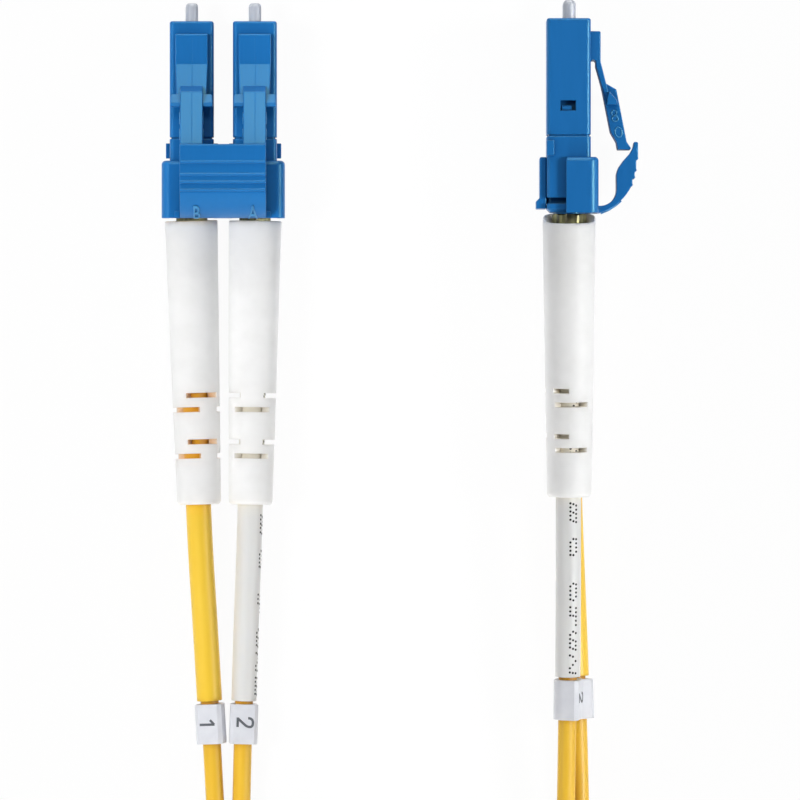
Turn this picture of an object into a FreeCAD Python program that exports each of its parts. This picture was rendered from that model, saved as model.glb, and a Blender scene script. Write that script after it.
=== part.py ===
import FreeCAD, Part
import math
import os
from FreeCAD import Placement, Rotation, Vector

# Duplex fibre optic patch cable, in millimetres.
# It lies on z = 0 with both ends pointing to +Y: end a on its back with the latches up,
# end b on its side with the latches towards +X.
# Each plug is drawn along its own ferrule axis. "Back" is the distance behind the front
# face of its housing, and "up" is the height above that axis, towards the latch.

# Plug section
plug_width = 4.35
plug_top = 2.1
plug_bottom = 2.25
plug_edge = 0.2
plug_nose_chamfer = 0.12
plug_pitch = 6.25

# Housing
housing_length = 11.5
nose_bore = 2.5
nose_depth = 3.0
cavity_width = 2.9
window_back = 8.0
window_length = 1.0
window_low = -0.9
window_high = 0.6

# Ferrule, its flange and the spring
ferrule_diameter = 1.249
ferrule_reach = 1.8
ferrule_tip_chamfer = 0.18
flange_diameter = 2.8
flange_length = 1.0
flange_tail = 1.7
flange_tail_length = 1.9
flange_seat_gap = 0.02
spring_wire = 0.26
spring_turns = 4
spring_clearance = 0.06

# Latch on top of the housing
block_back = 1.18
block_top = 3.08
latch_width = 3.2
latch_waist = 2.9
latch_root_back = 4.2
latch_root_thickness = 0.48
arm_thickness = 0.52
ramp_back = 6.25
ramp_foot = 3.56
crest_back = 6.95
crest_top = 4.64
tail_width = 2.25
tail_thickness = 1.41
tail_bend_back = 12.2
tail_bend_top = 5.65
tail_end_back = 12.95
tail_end_top = 6.17
tail_end_low = 4.75
ear_width = 4.15
ear_front_back = 7.3
ear_rear_back = 8.35
ear_front_height = 0.15
ear_rear_height = 0.6
ear_corner = 0.35
latch_press = 8.8
flex_spare = 1.5

# Rear body
seam_gap = 0.15
rear_body_end = 18.9
rear_tube_front = 7.6
rear_tube_clearance = 0.05
rear_bore = 1.9
nub_back = 12.0
nub_length = 1.5
nub_height = 0.7
nub_reach = 0.4
groove_back = 17.7
groove_length = 0.6
groove_depth = 0.25
rear_chamfer = 0.4
crimp_boss_length = 0.4
tab_clearance = 0.08
tab_recess = 0.2

# Crimp sleeve
crimp_diameter = 3.1
crimp_stub = 2.5
crimp_clearance = 0.03
crimp_length = 5.1

# Boot
boot_mouth_back = 19.75
boot_length = 28.1
boot_mouth_diameter = 5.2
boot_waist_diameter = 4.7
boot_waist = 16.3
boot_end_diameter = 4.3
boot_end_rounding = 0.45
boot_mouth_rounding = 0.12
boot_socket = 4.1
boot_socket_depth = 5.8
boot_bore = 3.35
boot_throat_length = 1.2
boot_throat_clearance = 0.2
slot_pitch_in_pair = 1.4
slot_pair_pitch = 4.6
slot_first_back = 36.8
slot_height = 0.47
slot_angle = 126.0

# Duplex clip
clip_width = 12.2
clip_front = 13.7
clip_rear = 19.2
clip_top = 2.86
clip_fit = 0.05
cheek_low = -0.33
cheek_edge_radius = 0.9
cheek_edge_flats = 3
clip_corner = 0.35
back_plate_width = 9.2
back_plate_thickness = 0.64
foot_back = 17.75
foot_end = 18.8
foot_drop = 0.35
gusset_size = 0.45

# Trigger over the latch tails
trigger_width = 8.53
trigger_tip_back = 12.2
trigger_top = 6.78
trigger_tip_thickness = 0.41
ridge_backs = [14.0, 15.15, 15.85, 16.6]
ridge_drops = [0.18, 0.15, 0.23, 0.17]
grip_end_back = 17.0
trigger_root_height = 3.0
trigger_root_thickness = 0.7
trigger_bow = 0.4
lip_end = (13.95, 6.07)
lip_curve = (14.35, 5.30)
belly_front = (15.1, 4.68)
belly_rear = (16.9, 4.64)
neck_curve = (17.95, 4.24)
trigger_press = 11.0

# Where the two ends lie
overall_width = 47.09
end_stagger = 0.18
boot_pivot_back = 22.0

# Cable legs, sleeves and markers
leg_diameter = 1.8
sleeve_diameter = 2.5
sleeve_bore = 1.9
sleeve_front_back = 26.0
sleeve_end_back_a = 67.4
sleeve_end_back_b = 65.1
marker_width = 2.9
marker_length = 3.95
marker_face = 1.35
marker_bore = 1.86
marker_edge = 0.15
marker_gap = 0.15

# Twin cable: the leads to the coil, the coil and its tie
lead_diameter = 2.55
coil_centre_y = -98.5
coil_inner_radius = 15.0
coil_outer_radius = 23.2
coil_height = 7.5
tie_thickness = 0.5
tie_width_angle = 21.0
tie_clearance = 0.05

# Number of flats that stand for a round section on moulded, drawn and crimped pieces
boot_flats = 20
tube_flats = 8
crimp_flats = 6
collar_flats = 6
bore_flats = 16
spring_flats = 6
marker_flats = 12
coil_flats = 48

# Values worked out from the driving dimensions
flange_back = nose_depth + flange_seat_gap
flange_end = flange_back + flange_length
rear_body_front = housing_length + seam_gap
crimp_back = rear_body_end + crimp_boss_length
crimp_end = crimp_back + crimp_length
end_length = ferrule_reach + boot_mouth_back + boot_length
front_y = {
    "a": (end_length + end_stagger) / 2 - ferrule_reach - end_stagger,
    "b": (end_length + end_stagger) / 2 - ferrule_reach,
}
end_x = {"a": (clip_width - overall_width) / 2, "b": overall_width / 2 - trigger_top}
foot_low = plug_bottom + clip_fit + back_plate_thickness + foot_drop
end_z = {"a": foot_low, "b": clip_width / 2}
sleeve_end_back = {"a": sleeve_end_back_a, "b": sleeve_end_back_b}

# How each boot leans about its crimp, in degrees: sideways towards +X, down towards the floor,
# and how far its first web is turned from straight up towards +X.
boot_lean = {"a1": (1.6, 0.0), "a2": (-0.9, 0.0), "b1": (0.0, 1.5), "b2": (0.0, 5.3)}
boot_turn = {"a1": -60.0, "a2": -7.0, "b1": 40.0, "b2": 13.0}
marker_turn = {"a1": -25.0, "a2": 4.0, "b1": 78.0, "b2": 66.0}

# Routes of the cable legs, from the crimp to where the two legs join
leg_route = {
    "a1": [(-20.50, -1.67, 3.29), (-20.08, -21.5, 3.29), (-18.70, -43.5, 2.60), (-17.80, -64.0, 0.95)],
    "a2": [(-14.36, -1.67, 3.29), (-14.60, -21.5, 3.29), (-15.30, -43.5, 2.60), (-15.90, -64.0, 0.95)],
    "b1": [(16.78, -1.49, 2.91), (16.60, -19.0, 2.43), (17.36, -37.0, 1.95), (17.96, -54.5, 1.40), (18.10, -70.0, 0.95)],
    "b2": [(16.77, -1.49, 8.98), (16.68, -19.0, 7.36), (16.70, -37.0, 5.88), (16.50, -54.5, 3.90), (16.20, -70.0, 0.95)],
}

# Routes of the twin cable, from where the legs join to the coil
lead_route = {
    "a": [(-16.85, -64.2, 1.30), (-17.55, -73.0, 1.50), (-19.00, -83.5, 2.10), (-20.20, -93.5, 2.35)],
    "b": [(17.15, -70.2, 1.30), (17.90, -77.5, 2.20), (19.30, -86.0, 4.60), (20.30, -93.8, 6.10)],
}


# Drawing aids in a plug's own frame

def box(half_width, back_0, back_1, low, high):
    return Part.makeBox(2 * half_width, back_1 - back_0, high - low, Vector(-half_width, -back_1, low))


def side_block(x_0, x_1, back_0, back_1, low, high):
    return Part.makeBox(x_1 - x_0, back_1 - back_0, high - low, Vector(x_0, -back_1, low))


def rod(diameter, back_0, back_1):
    return Part.makeCylinder(diameter / 2, back_1 - back_0, Vector(0, -back_0, 0), Vector(0, -1, 0))


def cone(diameter_0, diameter_1, back_0, back_1):
    return Part.makeCone(diameter_0 / 2, diameter_1 / 2, back_1 - back_0, Vector(0, -back_0, 0), Vector(0, -1, 0))


def flat_sided(stations, flats):
    rings = []
    for back, diameter in stations:
        turns = [2 * math.pi * (i + 0.5) / flats for i in range(flats)]
        rings.append([Vector(diameter / 2 * math.cos(t), -back, diameter / 2 * math.sin(t)) for t in turns])
    outlines = [rings[0], rings[-1]]
    for ring, following in zip(rings, rings[1:]):
        for i in range(flats):
            j = (i + 1) % flats
            outlines.append([ring[i], ring[j], following[j], following[i]])
    faces = [Part.Face(Part.makePolygon(points + points[:1])) for points in outlines]
    return Part.makeSolid(Part.makeShell(faces))


def across_flats(size, flats):
    return size / math.cos(math.pi / flats)


def side_point(back, up, x=0.0):
    return Vector(x, -back, up)


def side_prism(outline, width):
    points = [side_point(back, up, -width / 2) for back, up in outline]
    face = Part.Face(Part.makePolygon(points + points[:1]))
    return face.extrude(Vector(width, 0, 0))


def plan_prism(outline, low, high):
    points = [Vector(x, -back, low) for back, x in outline]
    face = Part.Face(Part.makePolygon(points + points[:1]))
    return face.extrude(Vector(0, 0, high - low))


def front_prism(outline, back_0, back_1):
    points = [Vector(x, -back_0, z) for x, z in outline]
    face = Part.Face(Part.makePolygon(points + points[:1]))
    return face.extrude(Vector(0, back_0 - back_1, 0))


def edges_along_y(shape):
    found = []
    for edge in shape.Edges:
        run = edge.Vertexes[1].Point - edge.Vertexes[0].Point
        if abs(run.x) + abs(run.z) < 1e-6:
            found.append(edge)
    return found


def edges_at_back(shape, back):
    return [e for e in shape.Edges if all(abs(v.Y + back) < 1e-6 for v in e.Vertexes)]


def plug_bar(back_0, back_1):
    bar = box(plug_width / 2, back_0, back_1, -plug_bottom, plug_top)
    return bar.makeChamfer(plug_edge, edges_along_y(bar))


def line_at(point_0, point_1, back):
    share = (back - point_0[0]) / (point_1[0] - point_0[0])
    return point_0[1] + share * (point_1[1] - point_0[1])


# Plug pieces

def ferrule():
    flat = ferrule_diameter - 2 * ferrule_tip_chamfer
    shank_front = ferrule_tip_chamfer - ferrule_reach
    tip = cone(flat, ferrule_diameter, -ferrule_reach, shank_front)
    return tip.fuse(rod(ferrule_diameter, shank_front, flange_back)).removeSplitter()


def ferrule_flange():
    collar = flat_sided([(flange_back, flange_diameter), (flange_end, flange_diameter)], collar_flats)
    return collar.fuse(rod(flange_tail, flange_end, flange_end + flange_tail_length))


def spring():
    front = flange_end + flange_seat_gap + spring_wire / 2
    height = rear_tube_front - flange_seat_gap - spring_wire / 2 - front
    radius = across_flats(flange_tail / 2 + spring_clearance + spring_wire / 2, spring_flats)
    steps = spring_turns * spring_flats
    points = []
    for i in range(steps + 1):
        turn = 2 * math.pi * i / spring_flats
        points.append(Vector(radius * math.cos(turn), -front - height * i / steps, radius * math.sin(turn)))
    half = spring_wire / 2
    corners = [points[0] + Vector(sx * half, sy * half, 0) for sx, sy in [(-1, -1), (1, -1), (1, 1), (-1, 1)]]
    section = Part.makePolygon(corners + corners[:1])
    return Part.makePolygon(points).makePipeShell([section], True, True, 1)


def latch_block():
    slot_height = block_top - latch_root_thickness - plug_top
    sunk = plug_top - plug_edge
    block = side_prism([(block_back, sunk), (block_back, block_top), (latch_root_back, block_top),
                        (latch_root_back, sunk)], latch_width)
    slot_end = Part.makeCylinder(slot_height / 2, latch_width,
                                 side_point(latch_root_back, plug_top + slot_height / 2, -latch_width / 2),
                                 Vector(1, 0, 0))
    return block.cut(slot_end)


def plug_housing():
    body = plug_bar(0, housing_length)
    body = body.makeChamfer(plug_nose_chamfer, edges_at_back(body, 0))
    body = body.fuse(latch_block()).removeSplitter()
    window = box(plug_width, window_back, window_back + window_length, window_low, window_high)
    half = cavity_width / 2
    cavity = box(half, nose_depth, housing_length + seam_gap, -half, half)
    return body.cut([rod(nose_bore, -plug_nose_chamfer, nose_depth), cavity, window])


def latch():
    flex = math.tan(math.radians(latch_press + flex_spare))
    root_low = block_top - latch_root_thickness
    root_top_point = (latch_root_back, block_top)
    ramp_point = (ramp_back, ramp_foot)
    ear_top = line_at(root_top_point, ramp_point, ear_rear_back)
    arm = side_prism([root_top_point, (ear_rear_back, ear_top), (ear_rear_back, ear_top - arm_thickness),
                      (ramp_back, ramp_foot - arm_thickness),
                      (latch_root_back + latch_root_thickness * flex, root_low)], latch_width)
    waist = plan_prism([(0, -latch_width / 2), (0, latch_width / 2), (latch_root_back, latch_width / 2),
                        (ear_rear_back + ear_corner, latch_waist / 2),
                        (ear_rear_back + ear_corner, -latch_waist / 2), (latch_root_back, -latch_width / 2)],
                       0, tail_end_top)
    crest_point = (crest_back, crest_top)
    bend_point = (tail_bend_back, tail_bend_top)
    heel_back = tail_bend_back - (tail_end_back - crest_back) / 6
    heel_top = line_at(crest_point, bend_point, heel_back)
    tail = side_prism([ramp_point, crest_point, bend_point, (tail_end_back, tail_end_top),
                       (tail_end_back, tail_end_low), (tail_bend_back, tail_end_low - arm_thickness / 4),
                       (heel_back, heel_top - tail_thickness), (crest_back, crest_top - tail_thickness),
                       (ramp_back, ramp_foot - arm_thickness)], tail_width)
    front_top = line_at(root_top_point, ramp_point, ear_front_back)
    ears = side_prism([(ear_front_back, front_top - arm_thickness), (ear_front_back, front_top + ear_front_height),
                       (ear_rear_back, ear_top + ear_rear_height), (ear_rear_back, ear_top - arm_thickness)],
                      ear_width)
    half = ear_width / 2
    shoulders = plan_prism([(ear_front_back, ear_corner - half), (ear_front_back, half - ear_corner),
                            (ear_front_back + ear_corner, half), (ear_rear_back, half),
                            (ear_rear_back, -half), (ear_front_back + ear_corner, -half)], 0, tail_end_top)
    return arm.common(waist).fuse([tail, ears.common(shoulders)]).removeSplitter()


def window_tab():
    back_0 = window_back + tab_clearance
    back_1 = window_back + window_length - tab_clearance
    reach = plug_width / 2 - tab_recess
    root = cavity_width / 4
    outline = [(back_0, root), (back_0, cavity_width / 2), ((back_0 + back_1) / 2, reach), (back_1, reach), (back_1, root)]
    low = window_low + tab_clearance
    high = window_high - tab_clearance
    return plan_prism(outline, low, high).fuse(plan_prism([(b, -x) for b, x in outline], low, high))


def rear_body():
    half = plug_width / 2
    taper = rear_body_end - rear_chamfer
    sides = side_prism([(rear_body_front, -plug_bottom), (rear_body_front, plug_top), (taper, plug_top),
                        (rear_body_end, plug_top - rear_chamfer), (rear_body_end, rear_chamfer - plug_bottom),
                        (taper, -plug_bottom)], plug_width)
    plan = plan_prism([(rear_body_front, -half), (rear_body_front, half), (taper, half),
                       (rear_body_end, half - rear_chamfer), (rear_body_end, rear_chamfer - half), (taper, -half)],
                      -plug_bottom, plug_top)
    body = plug_bar(rear_body_front, rear_body_end).common(sides).common(plan)
    ring = box(plug_width, groove_back, groove_back + groove_length, -plug_bottom - groove_depth, plug_top + groove_depth)
    core = box(plug_width / 2 - groove_depth, groove_back, groove_back + groove_length,
               groove_depth - plug_bottom, plug_top - groove_depth)
    body = body.cut(ring.cut(core))
    nub_low = plug_edge - plug_bottom
    nubs = box(plug_width / 2 + nub_reach, nub_back, nub_back + nub_length, nub_low, nub_low + nub_height)
    snout_half = cavity_width / 2 - rear_tube_clearance
    snout = box(snout_half, rear_tube_front, rear_body_front, -snout_half, snout_half)
    boss = flat_sided([(rear_body_end, crimp_diameter), (crimp_back, crimp_diameter)], bore_flats)
    stub = flat_sided([(crimp_back, crimp_stub), (crimp_end, crimp_stub)], bore_flats)
    body = body.fuse([nubs, snout, window_tab(), boss, stub]).removeSplitter()
    return body.cut(flat_sided([(rear_tube_front, rear_bore), (crimp_end, rear_bore)], bore_flats))


def crimp_sleeve():
    outside = across_flats(crimp_diameter, crimp_flats)
    inside = across_flats(crimp_stub + 2 * crimp_clearance, bore_flats)
    tube = flat_sided([(crimp_back, outside), (crimp_end, outside)], crimp_flats)
    return tube.cut(flat_sided([(crimp_back, inside), (crimp_end, inside)], bore_flats))


def boot():
    mouth = boot_mouth_back
    end = boot_mouth_back + boot_length
    outer = flat_sided([(mouth, boot_mouth_diameter - 2 * boot_mouth_rounding),
                        (mouth + boot_mouth_rounding, boot_mouth_diameter), (mouth + boot_waist, boot_waist_diameter),
                        (end - boot_end_rounding, boot_end_diameter),
                        (end, boot_end_diameter - 2 * boot_end_rounding)], boot_flats)
    socket_end = mouth + boot_socket_depth
    throat_front = end - boot_throat_length
    throat = across_flats(sleeve_diameter + 2 * boot_throat_clearance, boot_flats)
    bores = [flat_sided([(mouth, boot_socket), (socket_end, boot_socket)], boot_flats),
             flat_sided([(socket_end, boot_bore), (throat_front, boot_bore)], boot_flats),
             flat_sided([(throat_front, throat), (end, throat)], boot_flats)]
    body = outer.cut(bores)
    slots = []
    for pair in range(2):
        for level in range(2):
            back = slot_first_back + pair * slot_pair_pitch + level * slot_pitch_in_pair
            for side in range(2):
                slot = Part.makeCylinder(boot_mouth_diameter, slot_height, Vector(0, -back, 0), Vector(0, -1, 0), slot_angle)
                slot.rotate(Vector(0, 0, 0), Vector(0, 1, 0), side * 180 + level * 90 - 90 + slot_angle / 2)
                slots.append(slot)
    return body.cut(slots)


# Pieces shared by the two plugs of an end

def clip():
    half = clip_width / 2
    low_plate = -plug_bottom - clip_fit
    right = [(half, cheek_low)]
    for i in range(cheek_edge_flats + 1):
        turn = math.pi / 2 * i / cheek_edge_flats
        right.append((half - cheek_edge_radius * (1 - math.cos(turn)), clip_top - cheek_edge_radius * (1 - math.sin(turn))))
    outer = front_prism(right + [(-x, z) for x, z in reversed(right)], clip_front, clip_rear)
    corners = [e for e in edges_at_back(outer, clip_front) if abs(abs(e.CenterOfMass.x) - half) < 1e-6]
    outer = outer.makeChamfer(clip_corner, corners)
    web = box((plug_pitch - plug_width) / 2 - clip_fit, clip_front, clip_rear, low_plate, clip_top - cheek_edge_radius)
    plate = box(back_plate_width / 2, clip_front, foot_end, low_plate - back_plate_thickness, low_plate)
    foot = box(back_plate_width / 2, foot_back, foot_end, -foot_low, low_plate)
    foot = foot.makeChamfer(foot_drop * 0.9, [e for e in edges_at_back(foot, foot_back) if e.CenterOfMass.z < -foot_low + 1e-6])
    sockets = []
    for side in (-1, 1):
        centre = side * plug_pitch / 2
        reach = plug_width / 2 + clip_fit
        sockets.append(side_block(centre - reach, centre + reach, clip_front - 1, clip_rear + 1, low_plate, plug_top + clip_fit))
    body = outer.cut(sockets).fuse([web, plate, foot])
    root_front = clip_rear - trigger_root_thickness
    stub = box(trigger_width / 2, root_front, clip_rear, plug_top + clip_fit, trigger_root_height)
    gussets = [side_block(s * (trigger_width / 2 + gusset_size / 2) - gusset_size / 2,
                          s * (trigger_width / 2 + gusset_size / 2) + gusset_size / 2,
                          root_front, clip_rear, plug_top + clip_fit, trigger_root_height) for s in (-1, 1)]
    return body.fuse([stub] + gussets).removeSplitter()


def trigger():
    flex = math.tan(math.radians(trigger_press + flex_spare))
    x = -trigger_width / 2
    root_inner_back = clip_rear - trigger_root_thickness
    root_inner = side_point(root_inner_back, trigger_root_height + trigger_root_thickness * flex, x)
    root_outer = side_point(clip_rear, trigger_root_height, x)
    points = [side_point(trigger_tip_back, trigger_top - trigger_tip_thickness, x),
              side_point(trigger_tip_back, trigger_top, x)]
    up = trigger_top
    for back, drop in zip(ridge_backs, ridge_drops):
        points.append(side_point(back, up, x))
        up -= drop
        points.append(side_point(back, up, x))
    points.append(side_point(grip_end_back, up, x))
    edges = [Part.LineSegment(a, b).toShape() for a, b in zip(points, points[1:])]
    chord = root_outer - points[-1]
    outward = Vector(0, chord.z, -chord.y).normalize()
    middle = (root_outer + points[-1]) * 0.5 + outward * trigger_bow
    edges.append(Part.Arc(points[-1], middle, root_outer).toShape())
    edges.append(Part.LineSegment(root_outer, root_inner).toShape())
    lip, lip_middle, belly_0, belly_1, neck = [side_point(*p, x) for p in
                                               (lip_end, lip_curve, belly_front, belly_rear, neck_curve)]
    edges.append(Part.Arc(root_inner, neck, belly_1).toShape())
    edges.append(Part.LineSegment(belly_1, belly_0).toShape())
    edges.append(Part.Arc(belly_0, lip_middle, lip).toShape())
    edges.append(Part.LineSegment(lip, points[0]).toShape())
    return Part.Face(Part.Wire(edges)).extrude(Vector(trigger_width, 0, 0))


# Cable pieces, in the frame of the whole part

def arc_path(name, route):
    points = [Vector(*p) for p in route]
    edges = []
    start = points[0]
    radii = []
    for before, corner, after in zip(points, points[1:], points[2:]):
        back = (before - corner).normalize()
        ahead = (after - corner).normalize()
        turn = math.pi - back.getAngle(ahead)
        trim = 0.45 * min((before - corner).Length, (after - corner).Length)
        radius = trim / math.tan(turn / 2)
        radii.append(radius)
        bisector = (back + ahead).normalize()
        middle = corner + bisector * (radius / math.cos(turn / 2) - radius)
        arc_start = corner + back * trim
        arc_end = corner + ahead * trim
        edges.append(Part.LineSegment(start, arc_start).toShape())
        edges.append(Part.Arc(arc_start, middle, arc_end).toShape())
        start = arc_end
    edges.append(Part.LineSegment(start, points[-1]).toShape())
    print(name, "arc radii", [round(r, 1) for r in radii])
    return Part.Wire(edges)


def tube_along(path, diameter):
    first = path.Edges[0]
    start = first.valueAt(first.FirstParameter)
    along = first.tangentAt(first.FirstParameter)
    across = along.cross(Vector(0, 0, 1)).normalize() * (diameter / 2)
    corner = 360 / tube_flats
    points = [start + Rotation(along, corner * (i + 0.5)).multVec(across) for i in range(tube_flats)]
    return path.makePipeShell([Part.makePolygon(points + points[:1])], True, False)


def slab(y_low, y_high):
    reach = overall_width
    return Part.makeBox(2 * reach, y_high - y_low, 2 * reach, Vector(-reach, y_low, -reach))


def cable_sleeve(path, plug):
    front = front_y[plug[0]]
    tube = tube_along(path, sleeve_diameter).cut(tube_along(path, sleeve_bore))
    return tube.common(slab(front - sleeve_end_back[plug[0]], front - sleeve_front_back))


def station(path, y):
    points = path.discretize(Number=400)
    for a, b in zip(points, points[1:]):
        if b.y <= y <= a.y:
            return a + (b - a) * ((a.y - y) / (a.y - b.y)), (b - a).normalize()


def marker(path, plug):
    half = marker_width / 2
    side_wall = marker_face / 2
    right, left = Vector(half, 0, -side_wall), Vector(-half, 0, -side_wall)
    back = Part.Arc(right, Vector(0, 0, -half), left).toShape().discretize(Number=marker_flats // 2)
    outline = [(p.x, p.z) for p in back]
    outline += [(-half, marker_face - marker_edge), (marker_edge - half, marker_face),
                (half - marker_edge, marker_face), (half, marker_face - marker_edge)]
    body = front_prism(outline, 0, marker_length)
    bore = across_flats(marker_bore, marker_flats)
    body = body.cut(flat_sided([(0, bore), (marker_length, bore)], marker_flats))
    y = front_y[plug[0]] - sleeve_end_back[plug[0]] - marker_gap
    point, direction = station(path, y)
    far_point, _ = station(path, y - marker_length)
    turned = Rotation(Vector(0, 1, 0), marker_turn[plug])
    aimed = Rotation(Vector(0, -1, 0), far_point - point)
    body.Placement = Placement(point, aimed.multiply(turned))
    return body


def coil_bar(grow):
    low = tie_thickness - grow
    high = tie_thickness + coil_height + grow
    inner = coil_inner_radius - grow
    outer = coil_outer_radius + grow
    return Part.Face(Part.makePolygon([Vector(inner, 0, low), Vector(outer, 0, low), Vector(outer, 0, high),
                                       Vector(inner, 0, high), Vector(inner, 0, low)]))


def coil_disc(radius):
    turns = [2 * math.pi * (i + 0.5) / coil_flats for i in range(coil_flats)]
    return plan_prism([(-radius * math.sin(t), radius * math.cos(t)) for t in turns], tie_thickness, tie_thickness + coil_height)


def coil():
    ring = coil_disc(coil_outer_radius).cut(coil_disc(across_flats(coil_inner_radius, coil_flats)))
    ring.translate(Vector(0, coil_centre_y, 0))
    return ring


def coil_tie():
    loop = coil_bar(tie_thickness).cut(coil_bar(tie_clearance))
    band = loop.revolve(Vector(0, 0, 0), Vector(0, 0, 1), tie_width_angle)
    band.rotate(Vector(0, 0, 0), Vector(0, 0, 1), -90 - tie_width_angle / 2)
    band.translate(Vector(0, coil_centre_y, 0))
    return band


# Placing

def end_place(end):
    turn = Rotation(Vector(0, 1, 0), 90.0 if end == "b" else 0.0)
    return Placement(Vector(end_x[end], front_y[end], end_z[end]), turn)


def plug_offset(plug):
    side = -1 if plug in ("a1", "b2") else 1
    return Vector(side * plug_pitch / 2, 0, 0)


def placed(shape, end, offset=Vector(0, 0, 0)):
    copy = shape.copy()
    copy.Placement = end_place(end).multiply(Placement(offset, Rotation())).multiply(shape.Placement)
    return copy


def placed_boot(shape, plug):
    lean_x, lean_down = boot_lean[plug]
    axis = end_place(plug[0]).multVec(plug_offset(plug))
    turn = Rotation(Vector(0, 1, 0), boot_turn[plug])
    lean = Rotation(Vector(0, 0, 1), lean_x).multiply(Rotation(Vector(1, 0, 0), lean_down))
    pivot = Vector(0, -boot_pivot_back, 0)
    copy = shape.copy()
    copy.Placement = Placement(axis, lean.multiply(turn), pivot)
    return copy


def point_in_part(end, back, up, offset=Vector(0, 0, 0)):
    return end_place(end).multVec(side_point(back, up) + offset)


def build():
    shapes = {"coil": coil(), "coil_tie": coil_tie()}
    plug_pieces = {"ferrule": ferrule(), "ferrule_flange": ferrule_flange(), "spring": spring(),
                   "plug_housing": plug_housing(), "latch": latch(), "rear_body": rear_body(),
                   "crimp_sleeve": crimp_sleeve()}
    boot_shape = boot()
    clip_shape = clip()
    trigger_shape = trigger()
    for end in ("a", "b"):
        shapes[end + "_clip"] = placed(clip_shape, end)
        shapes[end + "_trigger"] = placed(trigger_shape, end)
        lead_path = arc_path(end + "_lead", lead_route[end])
        shapes[end + "_twin_lead"] = tube_along(lead_path, lead_diameter).cut(shapes["coil"])
        for number in ("1", "2"):
            plug = end + number
            for name, shape in plug_pieces.items():
                shapes[plug + "_" + name] = placed(shape, end, plug_offset(plug))
            shapes[plug + "_boot"] = placed_boot(boot_shape, plug)
            path = arc_path(plug + "_leg", leg_route[plug])
            shapes[plug + "_leg"] = tube_along(path, leg_diameter)
            shapes[plug + "_sleeve"] = cable_sleeve(path, plug)
            shapes[plug + "_marker"] = marker(path, plug)
            share = shapes[plug + "_leg"].Volume / (path.Length * math.pi * leg_diameter ** 2 / 4)
            print(plug, "leg length", round(path.Length, 2), "volume share", round(share, 4))
    return shapes


def main():
    os.makedirs("parts", exist_ok=True)
    for name, shape in build().items():
        shape.exportStep("parts/" + name + ".step")
    for end in ("a", "b"):
        print(end, "trigger hinge", tuple(point_in_part(end, clip_rear, trigger_root_height)))
        for number in ("1", "2"):
            offset = plug_offset(end + number)
            print(end + number, "latch hinge", tuple(point_in_part(end, latch_root_back, block_top, offset)),
                  "front face", tuple(point_in_part(end, 0, 0, offset)))


main()
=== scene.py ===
import bmesh
import bpy
from math import asin, atan2, copysign, cos, dist, exp, hypot, pi, radians, sin, tan, tanh
from mathutils import Matrix, Vector
from mathutils.geometry import tessellate_polygon


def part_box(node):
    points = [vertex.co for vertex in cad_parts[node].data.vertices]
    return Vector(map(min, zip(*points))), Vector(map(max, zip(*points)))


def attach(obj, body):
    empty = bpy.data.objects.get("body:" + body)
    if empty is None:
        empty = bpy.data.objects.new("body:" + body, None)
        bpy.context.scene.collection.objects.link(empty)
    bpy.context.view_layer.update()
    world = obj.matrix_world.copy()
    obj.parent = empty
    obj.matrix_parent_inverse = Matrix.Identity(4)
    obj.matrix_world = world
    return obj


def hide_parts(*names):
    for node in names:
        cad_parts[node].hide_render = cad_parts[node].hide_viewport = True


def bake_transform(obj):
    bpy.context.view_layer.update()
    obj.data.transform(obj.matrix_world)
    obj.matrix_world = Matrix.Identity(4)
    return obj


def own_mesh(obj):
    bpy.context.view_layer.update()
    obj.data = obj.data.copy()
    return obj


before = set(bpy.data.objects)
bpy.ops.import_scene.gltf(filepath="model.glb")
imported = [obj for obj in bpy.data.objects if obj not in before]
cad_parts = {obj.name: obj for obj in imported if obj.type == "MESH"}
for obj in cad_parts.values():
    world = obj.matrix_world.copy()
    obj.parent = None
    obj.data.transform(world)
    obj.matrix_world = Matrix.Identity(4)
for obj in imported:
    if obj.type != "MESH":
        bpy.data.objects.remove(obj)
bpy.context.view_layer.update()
print("frame loaded:", len(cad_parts), "nodes")

mm = 0.001
plugs = ("a1", "a2", "b1", "b2")
ends = ("a", "b")
ringSteps = 12  # points on each quarter of a lofted ring
sharpAngle = 32  # degrees; edges that turn more than this stay crisp
leastCorner = 0.05  # a ring that shrinks keeps this much rounding
facesUp = 0.6  # a side view's faces with more upward lean than this are its top
rampStops = (0.32, 0.68)  # the part of a noise pattern over which its two colours blend
mixFirst, mixSecond, mixResult = 6, 7, 2  # a Mix node's sockets when it mixes colours
routeSteps = {"leg": 24, "twin": 6, "digit": 8}  # points on each span of a curve
along = Vector((0, -1, 0))  # from a plug's nose to its cable


# Materials

def linear(hexCode):
    parts = [int(hexCode[i:i + 2], 16) / 255 for i in (1, 3, 5)]
    return [c / 12.92 if c <= 0.04045 else ((c + 0.055) / 1.055) ** 2.4 for c in parts] + [1.0]


def addNode(tree, kind, settings=(), links=()):
    node = tree.nodes.new(kind)
    for key, value in dict(settings).items():
        if isinstance(key, int) or key in node.inputs:
            node.inputs[key].default_value = value
        else:
            setattr(node, key, value)
    for key, socket in dict(links).items():
        tree.links.new(socket, node.inputs[key])
    return node


def emptyMaterial(name):
    material = bpy.data.materials.new(name)
    material.use_nodes = True
    material.node_tree.nodes.clear()
    return material, material.node_tree


def pattern(tree, vector, sizeMm, stretch=(1, 1, 1), detail=3.0):
    spread = addNode(tree, "ShaderNodeMapping", {"Scale": stretch}, {"Vector": vector})
    noise = addNode(tree, "ShaderNodeTexNoise", {"Scale": 1 / (sizeMm * mm), "Detail": detail},
                    {"Vector": spread.outputs["Vector"]})
    return noise.outputs["Fac"]


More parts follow.
